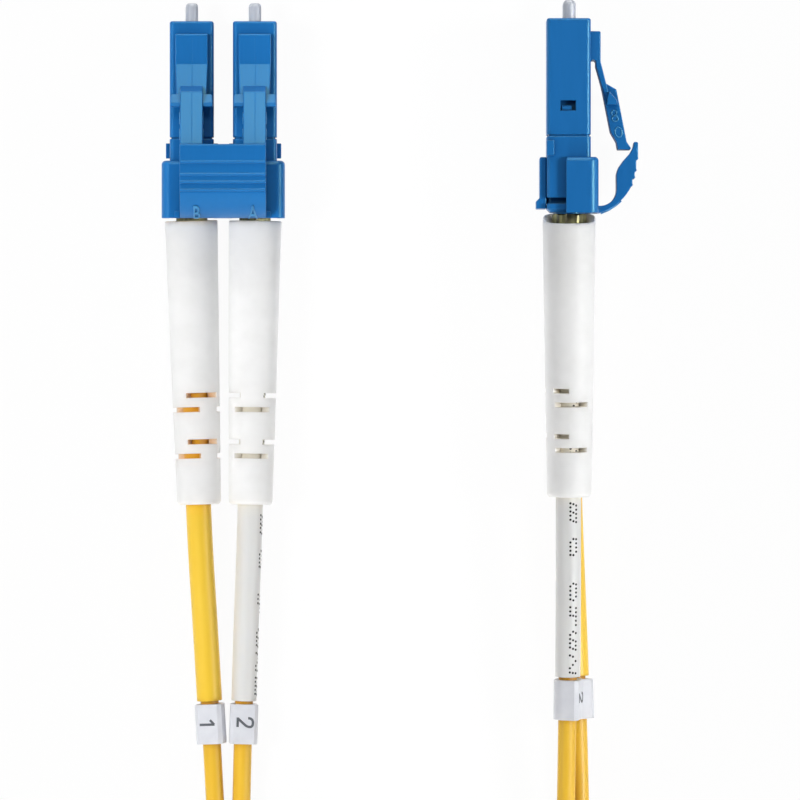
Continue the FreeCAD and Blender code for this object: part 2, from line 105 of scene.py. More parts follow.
def surface(name, settings, look):  # settings are the shader's own values, look gives the patterns
    material, tree = emptyMaterial(name)
    shader = addNode(tree, "ShaderNodeBsdfPrincipled", settings)
    addNode(tree, "ShaderNodeOutputMaterial", links={"Surface": shader.outputs["BSDF"]})
    vector = addNode(tree, "ShaderNodeTexCoord").outputs["Object"]
    clouds = pattern(tree, vector, look["patternMm"], look.get("stretch", (1, 1, 1)),
                     look.get("detail", 3.0))
    ramp = addNode(tree, "ShaderNodeValToRGB", links={"Fac": clouds})
    for stop, place, shade in zip(ramp.color_ramp.elements, rampStops, look["colours"]):
        stop.position, stop.color = place, linear(shade)
    colour = ramp.outputs["Color"]
    if "tarnish" in look:
        spots = pattern(tree, vector, look["tarnishMm"], look["tarnishStretch"])
        stained = addNode(tree, "ShaderNodeMix", {"data_type": "RGBA", mixSecond: linear(look["tarnish"])},
                          {0: spots, mixFirst: colour})
        colour = stained.outputs[mixResult]
    if "paintedShade" in look:  # painted shade: occluded, narrow places take a darker colour
        depth = addNode(tree, "ShaderNodeAmbientOcclusion",
                        {"samples": 8, "Distance": look["paintedShadeMm"] * mm})
        shaded = addNode(tree, "ShaderNodeMix", {"data_type": "RGBA", mixFirst: linear(look["paintedShade"])},
                         {0: depth.outputs["AO"], mixSecond: colour})
        colour = shaded.outputs[mixResult]
    tree.links.new(colour, shader.inputs["Base Color"])
    low, high = look["roughness"]
    span = addNode(tree, "ShaderNodeMapRange", {"To Min": low, "To Max": high}, {"Value": clouds})
    tree.links.new(span.outputs["Result"], shader.inputs["Roughness"])
    if "grain" in look:
        sizeMm, heightMm = look["grain"]
        height = pattern(tree, vector, sizeMm, detail=look.get("grainDetail", 2.0))
        bump = addNode(tree, "ShaderNodeBump", {"Strength": 1.0, "Distance": heightMm * mm},
                       {"Height": height})
        tree.links.new(bump.outputs["Normal"], shader.inputs["Normal"])
    return material


def softWall(weight, radius, scale):
    return {"Subsurface Weight": weight, "Subsurface Radius": radius, "Subsurface Scale": scale}


# Sizes in millimetres. A grain is its width and height, drawn coarser than the mould's so that it shows
pbt = {"IOR": 1.5, "Specular Tint": (0.46, 1.0, 0.86, 1.0)}
# a look's darker colour and its reach paint shade into narrow places
pbtLook = {"patternMm": 0.45, "stretch": (1, 0.12, 1), "roughness": (0.3, 0.36), "paintedShade": "#0D4072",
           "paintedShadeMm": 2.6, "grain": (0.07, 0.002)}
tpe = {"IOR": 1.5, **softWall(0.9, (0.001, 0.001, 0.001), 1.2)}
tpeLook = {"colours": ("#F4F4F3", "#FAFAF9"), "patternMm": 2.5, "roughness": (0.46, 0.56), "paintedShadeMm": 0.9,
           "grain": (0.09, 0.003)}
pvc = {"IOR": 1.48, **softWall(0.05, (0.001, 0.0007, 0.0004), 0.5)}
pvcLook = {"patternMm": 0.8, "stretch": (1, 0.08, 1), "paintedShadeMm": 1.5, "grain": (0.12, 0.002)}
ceramic = {"IOR": 2.1, **softWall(0.25, (0.001, 0.001, 0.0012), 0.5)}
inkLook = {"patternMm": 0.15, "roughness": (0.5, 0.65)}
tape = {"IOR": 1.5, "Sheen Weight": 0.4, "Sheen Roughness": 0.5}

finish = {
    # moulded PBT: satin gloss and faint flow streaks; painted shade darkens the recesses, and the raised
    # marks' paler blue is a painted highlight
    "blue": surface("blue moulded PBT", pbt, {**pbtLook, "colours": ("#1B70BA", "#1C72BD")}),
    "paintedHighlight": surface("blue moulded PBT with painted highlight", pbt, {**pbtLook, "colours": ("#3F8FCB", "#4F9BD2")}),
    # soft moulded TPE: matte, light passes into the wall; painted shade in the slots, tinted with the
    # sleeve's colour as its bounced light
    "boot1": surface("white moulded TPE 1", tpe, {**tpeLook, "paintedShade": "#EDB660"}),
    "boot2": surface("white moulded TPE 2", tpe, {**tpeLook, "paintedShade": "#E0D7C4"}),
    # drawn PVC: smooth, with die lines along its length, and painted shade where parts come close
    "yellowSleeve": surface("yellow sleeve PVC", pvc, {
        **pvcLook, "colours": ("#F3C83A", "#F5CC44"), "paintedShade": "#E2A22C", "roughness": (0.38, 0.42)}),
    "whiteSleeve": surface("white sleeve PVC", pvc, {
        **pvcLook, "colours": ("#DCDCDB", "#E2E2E1"), "paintedShade": "#E6DFCC", "roughness": (0.4, 0.44)}),
    "jacket": surface("yellow cable jacket PVC", pvc, {
        **pvcLook, "colours": ("#EBBB33", "#EEC03C"), "paintedShade": "#98540A", "roughness": (0.4, 0.44)}),
    # moulded POM: cool white, dull
    "marker": surface("white moulded POM", {"IOR": 1.48}, {
        "colours": ("#D8DAE1", "#DFE1E7"), "patternMm": 1.2, "roughness": (0.38, 0.48),
        "grain": (0.1, 0.002)}),
    # pad-printed ink: dull, slightly uneven
    "digit": surface("grey marker ink", {"IOR": 1.45}, {**inkLook, "colours": ("#565A60", "#666A70")}),
    "print": surface("black sleeve ink", {"IOR": 1.45}, {**inkLook, "colours": ("#15171A", "#2B2D31")}),
    # ground and polished ceramic: white, slightly translucent, glossy
    "zirconia": surface("ground zirconia", ceramic, {
        "colours": ("#AEB4BF", "#BCC1CA"), "patternMm": 0.3, "stretch": (1, 0.1, 1),
        "roughness": (0.36, 0.46)}),
    # plated and drawn metal: lines along the plug
    "collar": surface("nickel plated collar", {"Metallic": 1.0}, {
        "colours": ("#A8A69E", "#C6C4BC"), "patternMm": 0.2, "stretch": (1, 0.15, 1),
        "roughness": (0.24, 0.38), "grain": (0.2, 0.002)}),
    "spring": surface("drawn spring wire", {"Metallic": 1.0}, {
        "colours": ("#8E8F92", "#B4B5B8"), "patternMm": 0.15, "stretch": (1, 0.15, 1),
        "roughness": (0.28, 0.42), "grain": (0.15, 0.002)}),
    # squeezed brass: dull olive with dark and reddish tarnish
    "crimp": surface("tarnished crimped brass", {"Metallic": 0.85}, {
        "colours": ("#5A6250", "#BDBC80"), "patternMm": 0.7, "stretch": (1, 0.3, 1),
        "roughness": (0.28, 0.42), "tarnish": "#3E2C28", "tarnishMm": 0.55, "tarnishStretch": (1, 0.4, 1)}),
    # woven hook-and-loop tape: black, fuzzy
    "tape": surface("black woven nylon tape", tape, {
        "colours": ("#111214", "#25272B"), "patternMm": 0.35, "detail": 6, "roughness": (0.8, 0.95),
        "grain": (0.3, 0.06), "grainDetail": 4}),
}
print("materials:", len(finish))


# Mesh aids. Shapes are in millimetres on a plug's own axis: x sideways, y = -back, z = up to the latch

def clamp(value):
    return min(max(value, 0.0), 1.0)


def eased(value):
    share = clamp(value)
    return share * share * (3 - 2 * share)


def circle(count):
    return [2 * pi * i / count for i in range(count)]


def turned(degrees, axis):
    return Matrix.Rotation(radians(degrees), 4, axis)


def runLengths(points):
    runs = [0.0]
    for a, b in zip(points, points[1:]):
        runs.append(runs[-1] + dist(a, b))
    return runs


def band(bm, first, second, skip=()):
    for i in range(len(first)):
        if i not in skip:
            j = (i + 1) % len(first)
            bm.faces.new((first[i], first[j], second[j], second[i]))


def loft(bm, rings, closed=False):
    rows = [[bm.verts.new(p) for p in ring] for ring in rings]
    for first, second in list(zip(rows, rows[1:])) + ([(rows[-1], rows[0])] if closed else []):
        band(bm, first, second)
    if not closed:
        bm.faces.new(rows[0])
        bm.faces.new(rows[-1])


def rectRing(back, half, low, high, corner):
    radii = corner if isinstance(corner, tuple) else (corner,) * 4
    middles = [(half, high), (-half, high), (-half, low), (half, low)]
    ring = []
    for quarter, ((x, z), radius) in enumerate(zip(middles, radii)):
        flat, radius = radius < 0, abs(radius)  # a negative corner is a straight bevel
        cx, cz = x - copysign(radius, x), z - (radius if z == high else -radius)
        for i in range(ringSteps):
            share = i / (ringSteps - 1)
            first, last, turn = (pi / 2 * (quarter + t) for t in (0, 1, share))
            across, up = cos(turn), sin(turn)
            if flat:
                across, up = (f(first) * (1 - share) + f(last) * share for f in (cos, sin))
            ring.append(Vector((cx + radius * across, -back, cz + radius * up)))
    return ring


def roundRing(back, radius, across=None):
    ring = []
    for i in range(4 * ringSteps):
        turn = pi / 2 * (i + 0.5) / ringSteps
        reach = radius
        if across:  # six flats all round, with the corners cut at the radius
            reach = min(radius, across / 2 / cos((turn + pi / 6) % (pi / 3) - pi / 6))
        ring.append(Vector((reach * cos(turn), -back, reach * sin(turn))))
    return ring


def roundedEdge(size, steps=4):  # inset and drop along a quarter circle
    turns = [pi / 2 * i / steps for i in range(steps + 1)]
    return [(size * (1 - sin(t)), size * (1 - cos(t))) for t in turns]


def frontEdge(back, size, steps=4):  # places and insets of the rings that round a front edge
    return [(back + drop, inset) for inset, drop in roundedEdge(size, steps)]


def rearEdge(back, size, steps=4):
    return [(back - drop, inset) for inset, drop in reversed(roundedEdge(size, steps))]


def roundedOutline(points, radii, mostOfEdge=0.48, steps=5):
    outline = []
    count = len(points)
    for i, radius in enumerate(radii):
        corner = Vector(points[i])
        back, ahead = Vector(points[i - 1]) - corner, Vector(points[(i + 1) % count]) - corner
        if not radius:
            outline.append(corner)
            continue
        half = back.angle(ahead) / 2
        trim = min(radius / tan(half), mostOfEdge * back.length, mostOfEdge * ahead.length)
        start, end = corner + back.normalized() * trim, corner + ahead.normalized() * trim
        for step in range(steps + 1):
            t = step / steps
            outline.append(start * (1 - t) ** 2 + corner * 2 * t * (1 - t) + end * t ** 2)
    return outline


def arcThrough(first, middle, last, steps):
    (ax, ay), (bx, by), (cx, cy) = first, middle, last
    a2, b2, c2 = ax * ax + ay * ay, bx * bx + by * by, cx * cx + cy * cy
    d = 2 * (ax * (by - cy) + bx * (cy - ay) + cx * (ay - by))
    ux = (a2 * (by - cy) + b2 * (cy - ay) + c2 * (ay - by)) / d
    uy = (a2 * (cx - bx) + b2 * (ax - cx) + c2 * (bx - ax)) / d
    radius = hypot(ax - ux, ay - uy)
    start, end = (atan2(y - uy, x - ux) for x, y in (first, last))
    sweep = (end - start + pi) % (2 * pi) - pi
    turns = [start + sweep * i / steps for i in range(1, steps)]
    return [(ux + radius * cos(t), uy + radius * sin(t)) for t in turns]


def linked(name, data):
    piece = bpy.data.objects.new(name, data)
    bpy.context.scene.collection.objects.link(piece)
    return piece


def meshOf(piece):
    bpy.context.view_layer.update()
    return bpy.data.meshes.new_from_object(piece.evaluated_get(bpy.context.evaluated_depsgraph_get()))


def paint(mesh, material):
    mesh.materials.clear()
    mesh.materials.append(material)


def smooth(piece, angle=sharpAngle):
    piece.data.shade_smooth()
    piece.data.set_sharp_from_angle(angle=radians(angle))


def objectOf(name, mesh, material=None, angle=sharpAngle):
    piece = linked(name, mesh)
    if material:
        paint(mesh, material)
    smooth(piece, angle)
    return piece


def objectFrom(name, bm, material=None, angle=sharpAngle):
    bmesh.ops.remove_doubles(bm, verts=bm.verts, dist=1e-5)
    bmesh.ops.recalc_face_normals(bm, faces=bm.faces)
    mesh = bpy.data.meshes.new(name)
    bm.to_mesh(mesh)
    bm.free()
    return objectOf(name, mesh, material, angle)


def lofted(name, rings, closed=False, material=None, angle=sharpAngle, scale=None):
    bm = bmesh.new()
    loft(bm, rings, closed)
    if scale:
        bmesh.ops.scale(bm, vec=(scale, scale, scale), verts=bm.verts)
    return objectFrom(name, bm, material, angle)


def sidePrism(name, outline, width, edge, seam=None):  # a side view's outline, pulled out to both sides
    places = [Vector(p) for p in outline]
    points = [p for i, p in enumerate(places) if (p - places[i - 1]).length > 1e-4]
    count = len(points)
    area = sum(points[i - 1].x * points[i].y - points[i].x * points[i - 1].y for i in range(count))
    outward = []
    for i, point in enumerate(points):
        before, after = (point - points[i - 1]).normalized(), (points[(i + 1) % count] - point).normalized()
        first, second = Vector((before.y, -before.x)), Vector((after.y, -after.x))
        outward.append((first + second) / (1 + first.dot(second)) * copysign(1, area))
    profile = [(-width / 2 + drop, inset, 0.0) for inset, drop in roundedEdge(edge, 3)]
    middle = []
    if seam:  # a fine groove along the top
        dips = ((-seam["half"], 0.0), (0.0, seam["depth"]), (seam["half"], 0.0))
        middle = [(seam["x"] + x, 0.0, drop) for x, drop in dips]
    bm = bmesh.new()
    rows = []
    for x, inset, drop in profile + middle + [(-x, inset, drop) for x, inset, drop in reversed(profile)]:
        row = []
        for point, normal in zip(points, outward):
            place = point - normal * (inset + (drop if normal.y > facesUp else 0.0))
            row.append(bm.verts.new((x, -place.x, place.y)))
        rows.append(row)
    for first, second in zip(rows, rows[1:]):
        band(bm, first, second)
    for row in (rows[0], rows[-1]):
        for triangle in tessellate_polygon([[v.co for v in row]]):
            bm.faces.new([row[i] for i in triangle])
    return objectFrom(name, bm)


def block(name, x0, x1, back0, back1, low, high, edge=0.0):
    bm = bmesh.new()
    for v in bmesh.ops.create_cube(bm, size=1.0)["verts"]:
        v.co = Vector((x0 + (v.co.x + 0.5) * (x1 - x0), -back0 - (v.co.y + 0.5) * (back1 - back0),
                       low + (v.co.z + 0.5) * (high - low)))
    bmesh.ops.recalc_face_normals(bm, faces=bm.faces)
    if edge:
        bmesh.ops.bevel(bm, geom=bm.edges[:], offset=edge, segments=3, profile=0.5, affect="EDGES",
                        clamp_overlap=False)
    return objectFrom(name, bm)


def bake(piece):
    mesh = meshOf(piece)
    piece.modifiers.clear()
    piece.data = mesh


def flatten(piece):  # large flat faces keep their own normal, so only the rounded edges shade
    weight = piece.modifiers.new("flats", "WEIGHTED_NORMAL")
    weight.keep_sharp, weight.weight = True, 100
    bake(piece)
    return piece


def cutOut(piece, cutters):
    for cutter in cutters:
        cut = piece.modifiers.new("cut", "BOOLEAN")
        cut.operation, cut.solver, cut.object = "DIFFERENCE", "EXACT", cutter
        bake(piece)
        bpy.data.objects.remove(cutter)
    smooth(piece)
    return piece


def joined(piece, others):
    bm = bmesh.new()
    for part in [piece] + others:
        bm.from_mesh(part.data)
    bm.to_mesh(piece.data)
    bm.free()
    for other in others:
        bpy.data.objects.remove(other)
    smooth(piece)
    return flatten(piece)


def placedCopy(template, name, matrix, material):
    mesh = template.data.copy()
    mesh.transform(matrix)
    paint(mesh, material)
    return linked(name, mesh)


def dress(piece, body, slotName, *nodes):
    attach(piece, body)
    if nodes:
        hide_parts(*nodes)
    return piece


# Places, from the frame

ferruleReach = 1.8
plugPitch = 6.25


def plugOrigin(plug):
    low, high = (Vector(c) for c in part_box(plug + "_ferrule"))
    return Vector(((low.x + high.x) / 2, high.y - ferruleReach * mm, (low.z + high.z) / 2))


def localFrame(origin, end):
    return Matrix.Translation(origin) @ turned(90 if end == "b" else 0, "Y") @ Matrix.Scale(mm, 4)


plugFrame = {plug: localFrame(plugOrigin(plug), plug[0]) for plug in plugs}
endFrame = {end: localFrame((plugOrigin(end + "1") + plugOrigin(end + "2")) / 2, end) for end in ends}


# Plug housing: a hollow moulding with a round nose opening, a square rear cavity and two snap windows

housing = {"half": 2.175, "low": -2.25, "high": 2.1, "length": 11.5, "corner": 0.44, "noseEdge": 0.22,
           "rearEdge": 0.09, "bore": 1.25, "boreLip": 0.12, "seat": 3.0, "cavity": 1.45,
           "cavityCorner": 0.12, "windowBack": 8.12, "windowLength": 1.0, "windowLow": -0.9,
           "windowHigh": 0.6, "windowLip": 0.05, "windowInner": 1.2, "windowSill": 0.005, "windowOut": 0.5}


def insetRings(size, rows):
    return [rectRing(back, size["half"] - inset, size["low"] + inset, size["high"] - inset,
                     max(size["corner"] - inset, leastCorner)) for back, inset in rows]


def housingShape():
    h = housing
    c, corner = h["cavity"], h["cavityCorner"]
    rings = insetRings(h, frontEdge(0, h["noseEdge"]) + rearEdge(h["length"], h["rearEdge"]))
    rings += [rectRing(back, c, -c, c, corner) for back in (h["length"], h["seat"])]
    rings += [roundRing(h["seat"], h["bore"]), roundRing(h["boreLip"], h["bore"]),
              roundRing(0, h["bore"] + h["boreLip"])]
    shell = lofted("housing shape", rings, closed=True)
    lip, half = h["windowLip"], h["half"]
    cutters = []
    for side in (-1, 1):
        rings = []
        for x, grow in ((h["windowInner"], 0), (half - lip, 0), (half + h["windowSill"], lip),
                        (half + h["windowOut"], lip)):
            back0, back1 = h["windowBack"] - grow, h["windowBack"] + h["windowLength"] + grow
            low, high = h["windowLow"] - grow, h["windowHigh"] + grow
            corners = ((back0, low), (back1, low), (back1, high), (back0, high))
            rings.append([Vector((side * x, -back, z)) for back, z in corners])
        cutters.append(lofted("window cutter", rings))
    return flatten(cutOut(shell, cutters))


# Rear body: snout with window tabs, waist groove, nubs, tapered end and the boss for the crimp

rearBody = {"half": 2.175, "low": -2.25, "high": 2.1, "corner": 0.44, "front": 11.65, "frontEdge": 0.09,
            "collar": 0.14, "collarInset": 0.16, "end": 19.15, "taper": 0.36, "snoutFront": 7.6,
            "snoutHalf": 1.3, "snoutCorner": 0.1, "grooveBack": 17.7, "grooveLength": 0.6,
            "grooveDepth": 0.9, "grooveEdge": 0.05, "bossRadius": 1.55, "bossEnd": 19.36, "nubBack": 12.05,
            "nubLength": 1.5, "nubHeight": 0.75, "nubReach": 0.42, "nubInner": 1.8, "nubEdge": 0.07,
            "tabReach": 2.03, "tabInner": 1.2, "tabSlope": 0.14, "tabGap": 0.08, "tabFoot": 0.18,
            "tabHead": 0.4}


def rearBodyShape():
    r, w = rearBody, housing
    s, edge = r["snoutHalf"], r["grooveEdge"]
    rings = [rectRing(back, s, -s, s, r["snoutCorner"])
             for back in (r["snoutFront"], r["front"] - r["collar"])]
    groove, grooveEnd = r["grooveBack"], r["grooveBack"] + r["grooveLength"]
    rings += insetRings(r, [(r["front"] - r["collar"], r["collarInset"]), (r["front"], r["collarInset"])]
                        + frontEdge(r["front"], r["frontEdge"]) + [(groove - edge, 0), (groove, edge)])
    rings += [rectRing(back, r["half"] - r["grooveDepth"], r["low"] + edge, r["high"] - edge, r["corner"])
              for back in (groove, grooveEnd)]
    rings += insetRings(r, [(grooveEnd, edge), (grooveEnd + edge, 0), (r["end"] - r["taper"], 0),
                            (r["end"], r["taper"])])
    rings += [roundRing(back, r["bossRadius"]) for back in (r["end"], r["bossEnd"])]
    body = lofted("rear body shape", rings)
    tab0, tab1 = w["windowBack"] + w["windowLength"] / 2, w["windowBack"] + w["windowLength"] - r["tabGap"]
    out, inner, slope = r["tabReach"], r["tabInner"], r["tabSlope"]
    outline = [(tab0, inner), (tab0, out - slope), (tab0 + slope, out), (tab1, out), (tab1, inner)]
    extras = []
    for side in (-1, 1):
        near, far = sorted((side * r["nubInner"], side * (r["half"] + r["nubReach"])))
        extras.append(block("nub", near, far, r["nubBack"], r["nubBack"] + r["nubLength"], r["low"],
                            r["low"] + r["nubHeight"], r["nubEdge"]))
        heights = (w["windowLow"] + r["tabFoot"], w["windowHigh"] - r["tabHead"])
        rings = [[Vector((side * x, -back, z)) for back, x in outline] for z in heights]
        extras.append(lofted("window tab", rings))
    return joined(body, extras)


# Latch: block, thin root, rising arm with two shoulders, and the tail under the trigger

latch = {"blockBack": 1.28, "blockTop": 3.08, "sunk": 1.95, "width": 3.2, "waist": 2.9, "rootBack": 4.3,
         "rootThickness": 0.48, "rampBack": 6.47, "rampFoot": 3.614, "armThickness": 0.52,
         "crestBack": 7.03, "crestTop": 4.64, "tailWidth": 2.25, "tailThickness": 1.41, "bendBack": 12.2,
         "bendTop": 5.65, "endBack": 12.95, "endTop": 6.17, "endLow": 4.75, "earWidth": 4.15,
         "earFront": 7.27, "earApex": 4.0, "earCrest": 8.1, "earTop": 4.7, "earRear": 8.53, "earLow": 3.7,
         "earCorner": 0.16, "earLip": 0.12, "earRidge": 0.03, "earFall": 0.08, "lap": 0.1,
         "slotFront": 0.17, "slotRear": 0.4, "armTip": 0.3, "tailSunk": 0.12, "earSlope": 0.4, "edge": 0.1,
         "seam": {"x": 0.05, "half": 0.045, "depth": 0.016}}


def lineAt(first, second, back):
    return first[1] + (back - first[0]) / (second[0] - first[0]) * (second[1] - first[1])


def latchShape():
    t = latch
    rootTop, ramp = (t["rootBack"], t["blockTop"]), (t["rampBack"], t["rampFoot"])
    armEnd = t["earRear"] - t["lap"]
    armTop = lineAt(rootTop, ramp, t["earRear"])
    slotTop, slotLow = t["blockTop"] - t["rootThickness"], housing["high"]
    slotFront, slotRear = t["rootBack"] - t["slotFront"], t["rootBack"] + t["slotRear"]
    underRamp = (t["rampBack"], t["rampFoot"] - t["armThickness"])
    outline = roundedOutline(
        [(t["blockBack"], t["sunk"]), (t["blockBack"], t["blockTop"]), rootTop, (armEnd, armTop),
         (armEnd, armTop - t["armTip"]), underRamp, (slotRear, slotTop), (slotFront, slotTop),
         (slotFront, slotLow), (slotRear, slotLow), (slotRear, t["sunk"])],
        [0, 0.2, 0.6, 0.08, 0.08, 0.5, 0.3, 0.3, 0.3, 0.05, 0])
    arm = sidePrism("latch shape", outline, t["width"], t["edge"], t["seam"])
    for v in arm.data.vertices:  # the arm narrows towards its shoulders
        share = (-v.co.y - t["rootBack"]) / (t["earRear"] - t["rootBack"])
        if share > 0:
            v.co.x *= 1 - (1 - t["waist"] / t["width"]) * share
    crest, knee = (t["crestBack"], t["crestTop"]), (t["bendBack"], t["bendTop"])
    heelBack = t["bendBack"] - (t["endBack"] - t["crestBack"]) / 6
    tailOutline = roundedOutline(
        [(t["rampBack"] - t["lap"], t["rampFoot"] - t["tailSunk"]), crest, knee,
         (t["endBack"], t["endTop"]), (t["endBack"], t["endLow"]),
         (t["bendBack"], t["endLow"] - t["armThickness"] / 4),
         (heelBack, lineAt(crest, knee, heelBack) - t["tailThickness"]),
         (t["crestBack"], t["crestTop"] - t["tailThickness"]), underRamp],
        [0, 0.25, 0.5, 0.15, 0.1, 0.3, 0.6, 0.2, 0.1])
    tail = sidePrism("tail", tailOutline, t["tailWidth"], t["edge"], t["seam"])
    half, corner = t["earWidth"] / 2, t["earCorner"]
    side = ((t["earFront"], t["earApex"] - t["earLip"]), (t["earFront"], t["earApex"]),
            (t["earCrest"], t["earTop"]), (armEnd, t["earTop"] + t["earRidge"]),
            (t["earRear"], t["earTop"] - t["earFall"]), (t["earRear"], t["earLow"]))
    rings = []
    for x, cut in ((-half, corner), (-half + corner, 0.0), (half - corner, 0.0), (half, corner)):
        rings.append([Vector((x, -back - (cut if back < t["earCrest"] else 0.0),
                              up - t["earSlope"] * cut * (up > t["earApex"]))) for back, up in side])
    return joined(arm, [tail, lofted("ears", rings)])


# Raised ring marks on the tail's side, as moulders' cavity numbers are

tailMarks = {"rings": [(9.35, 4.40, 0.26, 0.26), (9.91, 4.50, 0.28, 0.28), (11.25, 4.85, 0.5, 0.34)],
             "half": 0.065, "raise": 0.07, "lean": 10.0, "steps": 32, "wireSteps": 8}


def tailMarkShape():
    m = tailMarks
    lean = turned(-m["lean"], "X")
    wire = circle(m["wireSteps"])
    bm = bmesh.new()
    for back, up, halfLength, halfHeight in m["rings"]:
        for side in (-1, 1):
            middle = Vector((side * latch["tailWidth"] / 2, -back, up))
            rings = []
            for turn in circle(m["steps"]):
                out = lean @ Vector((0, -cos(turn) * halfLength, sin(turn) * halfHeight))
                rings.append([middle + out + out.normalized() * (m["half"] * cos(a))
                              + Vector((side * m["raise"] * sin(a), 0, 0)) for a in wire])
            loft(bm, rings, closed=True)
    return objectFrom("tail marks", bm)


# Boot: tapered sleeve with flex slots in turned pairs

boot = {"mouthBack": 19.75, "length": 28.1, "mouthRadius": 2.6, "waist": 16.3, "waistRadius": 2.35,
        "endRadius": 2.15, "mouthEdge": 0.13, "mouthBevel": 0.58, "endEdge": 0.34, "socketRadius": 1.85,
        "socketDepth": 5.8, "boreRadius": 1.28, "throatRadius": 1.28, "throatLength": 1.2,
        "slotFirst": 36.8, "slotPitch": 1.4, "pairPitch": 4.6, "slotHeight": 0.47, "columns": 96,
        "slotEdge": 0.06, "pivotBack": 22.0, "slantLength": 7.0, "slantSteep": 3.4}
bootLean = {"a1": (1.6, 0.0), "a2": (-0.9, 0.0), "b1": (0.0, 1.5), "b2": (0.13, 5.3)}
bootTurn = {"a1": -51.0, "a2": -1.0, "b1": 40.0, "b2": 20.0}
# the mouth gapes where the cable pulls the boot down
mouthSlant = {"a1": 0.0, "a2": 0.0, "b1": 2.0, "b2": 7.0}
# the right-hand boots are pulled down, and look shorter from above
bootReach = {"a": (0.0, 1.0), "b": (-0.02, 0.98)}
# each level's first column and its count of columns; the slot on the other side is half a turn on
bootSlots = {"a1": ((7, 23), (-18, 34)), "a2": ((8, 32), (-13, 26)), "b1": ((8, 32), (-13, 26)),
             "b2": ((-17, 11), (-16, 24))}


def bootRadius(back):
    b = boot
    waistBack, endBack = b["mouthBack"] + b["waist"], b["mouthBack"] + b["length"]
    if back <= waistBack:
        fall = b["waistRadius"] - b["mouthRadius"]
        return b["mouthRadius"] + fall * (back - b["mouthBack"]) / b["waist"]
    fall = b["endRadius"] - b["waistRadius"]
    return b["waistRadius"] + fall * (back - waistBack) / (endBack - waistBack)


def slotLoop(skin, rows, back, cols):  # the slot's outline on one skin
    k = next(i for i, row in enumerate(rows) if row[0] == back)
    after = (cols[-1] + 1) % boot["columns"]
    front, rear = skin[k], skin[k + 1]
    return [front[i] for i in cols] + [front[after], rear[after]] + [rear[i] for i in reversed(cols)]


def bootShape(plug):
    b = boot
    columns = b["columns"]
    mouth, end = b["mouthBack"], b["mouthBack"] + b["length"]
    gaps, slotBacks = {}, []
    for pair in range(2):
        for level, (first, count) in enumerate(bootSlots[plug]):
            back = b["slotFirst"] + pair * b["pairPitch"] + level * b["slotPitch"]
            slotBacks += [back, back + b["slotHeight"]]
            gaps[back] = [[(begin + i) % columns for i in range(count)]
                          for begin in (first, first + columns // 2)]
    backs = [mouth + b["waist"] * i / 6 for i in range(1, 7)] + slotBacks + [end - 2 * b["endEdge"]]
    rows = frontEdge(mouth, b["mouthEdge"]) + [(back, 0) for back in backs] + rearEdge(end, b["endEdge"], 6)
    outer = [(back, bootRadius(back) - inset) for back, inset in rows]
    socket, bore, throat = b["socketRadius"], b["boreRadius"], b["throatRadius"]
    inner = [(mouth, socket + b["mouthBevel"]), (mouth + b["mouthBevel"], socket),
             (mouth + b["socketDepth"], socket), (mouth + b["socketDepth"], bore)]
    inner += [(back, bore) for back in slotBacks]
    inner += [(end - b["throatLength"], bore), (end - b["throatLength"], throat), (end, throat)]
    bm = bmesh.new()
    turns = circle(columns)
    skins = []
    for rows in (outer, inner):
        skins.append([[bm.verts.new((r * sin(a), -back, r * cos(a))) for a in turns] for back, r in rows])
    for rows, skin in zip((outer, inner), skins):
        for k in range(len(rows) - 1):
            band(bm, skin[k], skin[k + 1], {i for cols in gaps.get(rows[k][0], []) for i in cols})
    for k in (0, -1):
        band(bm, skins[0][k], skins[1][k])
    rims = []
    for back, groups in gaps.items():
        for cols in groups:
            loops = [slotLoop(skin, rows, back, cols) for skin, rows in zip(skins, (outer, inner))]
            band(bm, *loops)
            rims += [bm.edges.get(pair) for pair in zip(loops[0], loops[0][1:] + loops[0][:1])]
    bmesh.ops.recalc_face_normals(bm, faces=bm.faces)
    bmesh.ops.bevel(bm, geom=rims, offset=b["slotEdge"], segments=2, profile=0.5, affect="EDGES",
                    clamp_overlap=False)
    return objectFrom(plug + "-boot", bm, finish["boot" + plug[1]])


def buildBoot(plug):
    b = boot
    leanX, leanDown = bootLean[plug]
    lean = turned(leanX, "Z") @ turned(leanDown, "X")
    pivot = Vector((0, -b["pivotBack"], 0))
    place = Matrix.Translation(plugOrigin(plug)) @ Matrix.Scale(mm, 4) @ Matrix.Translation(pivot) @ lean
    piece = bootShape(plug)
    piece.data.transform(turned(bootTurn[plug], "Y") @ Matrix.Translation(-pivot))
    shift, reach = bootReach[plug[0]]
    mouthY = b["pivotBack"] - b["mouthBack"]
    slant = tan(radians(mouthSlant[plug]))
    for v in piece.data.vertices:
        v.co.y = mouthY - shift - (mouthY - v.co.y) * reach
        lift = b["mouthRadius"] * tanh(b["slantSteep"] * v.co.z / b["mouthRadius"])
        v.co.y -= lift * slant * clamp(1 - (mouthY - v.co.y) / b["slantLength"])
    piece.data.transform(place)
    dress(piece, "cable", "white_boot", plug + "_boot")


# Ferrule and crimp sleeve

ferrule = {"radius": 0.6245, "tipRadius": 0.33, "tipLength": 0.45, "rear": 3.02, "tipSteps": 6}
crimp = {"front": 19.3, "length": 5.1, "across": 3.1, "corner": 1.7, "bore": 1.28, "lip": 0.15, "sharp": 20}


def ferruleShape():
    f = ferrule
    rings = [roundRing(-ferruleReach, f["tipRadius"])]
    for i in range(1, f["tipSteps"] + 1):
        turn = pi / 2 * i / f["tipSteps"]
        rings.append(roundRing(-ferruleReach + f["tipLength"] * (1 - cos(turn)),
                               f["tipRadius"] + (f["radius"] - f["tipRadius"]) * sin(turn)))
    return lofted("ferrule shape", rings + [roundRing(f["rear"], f["radius"])])


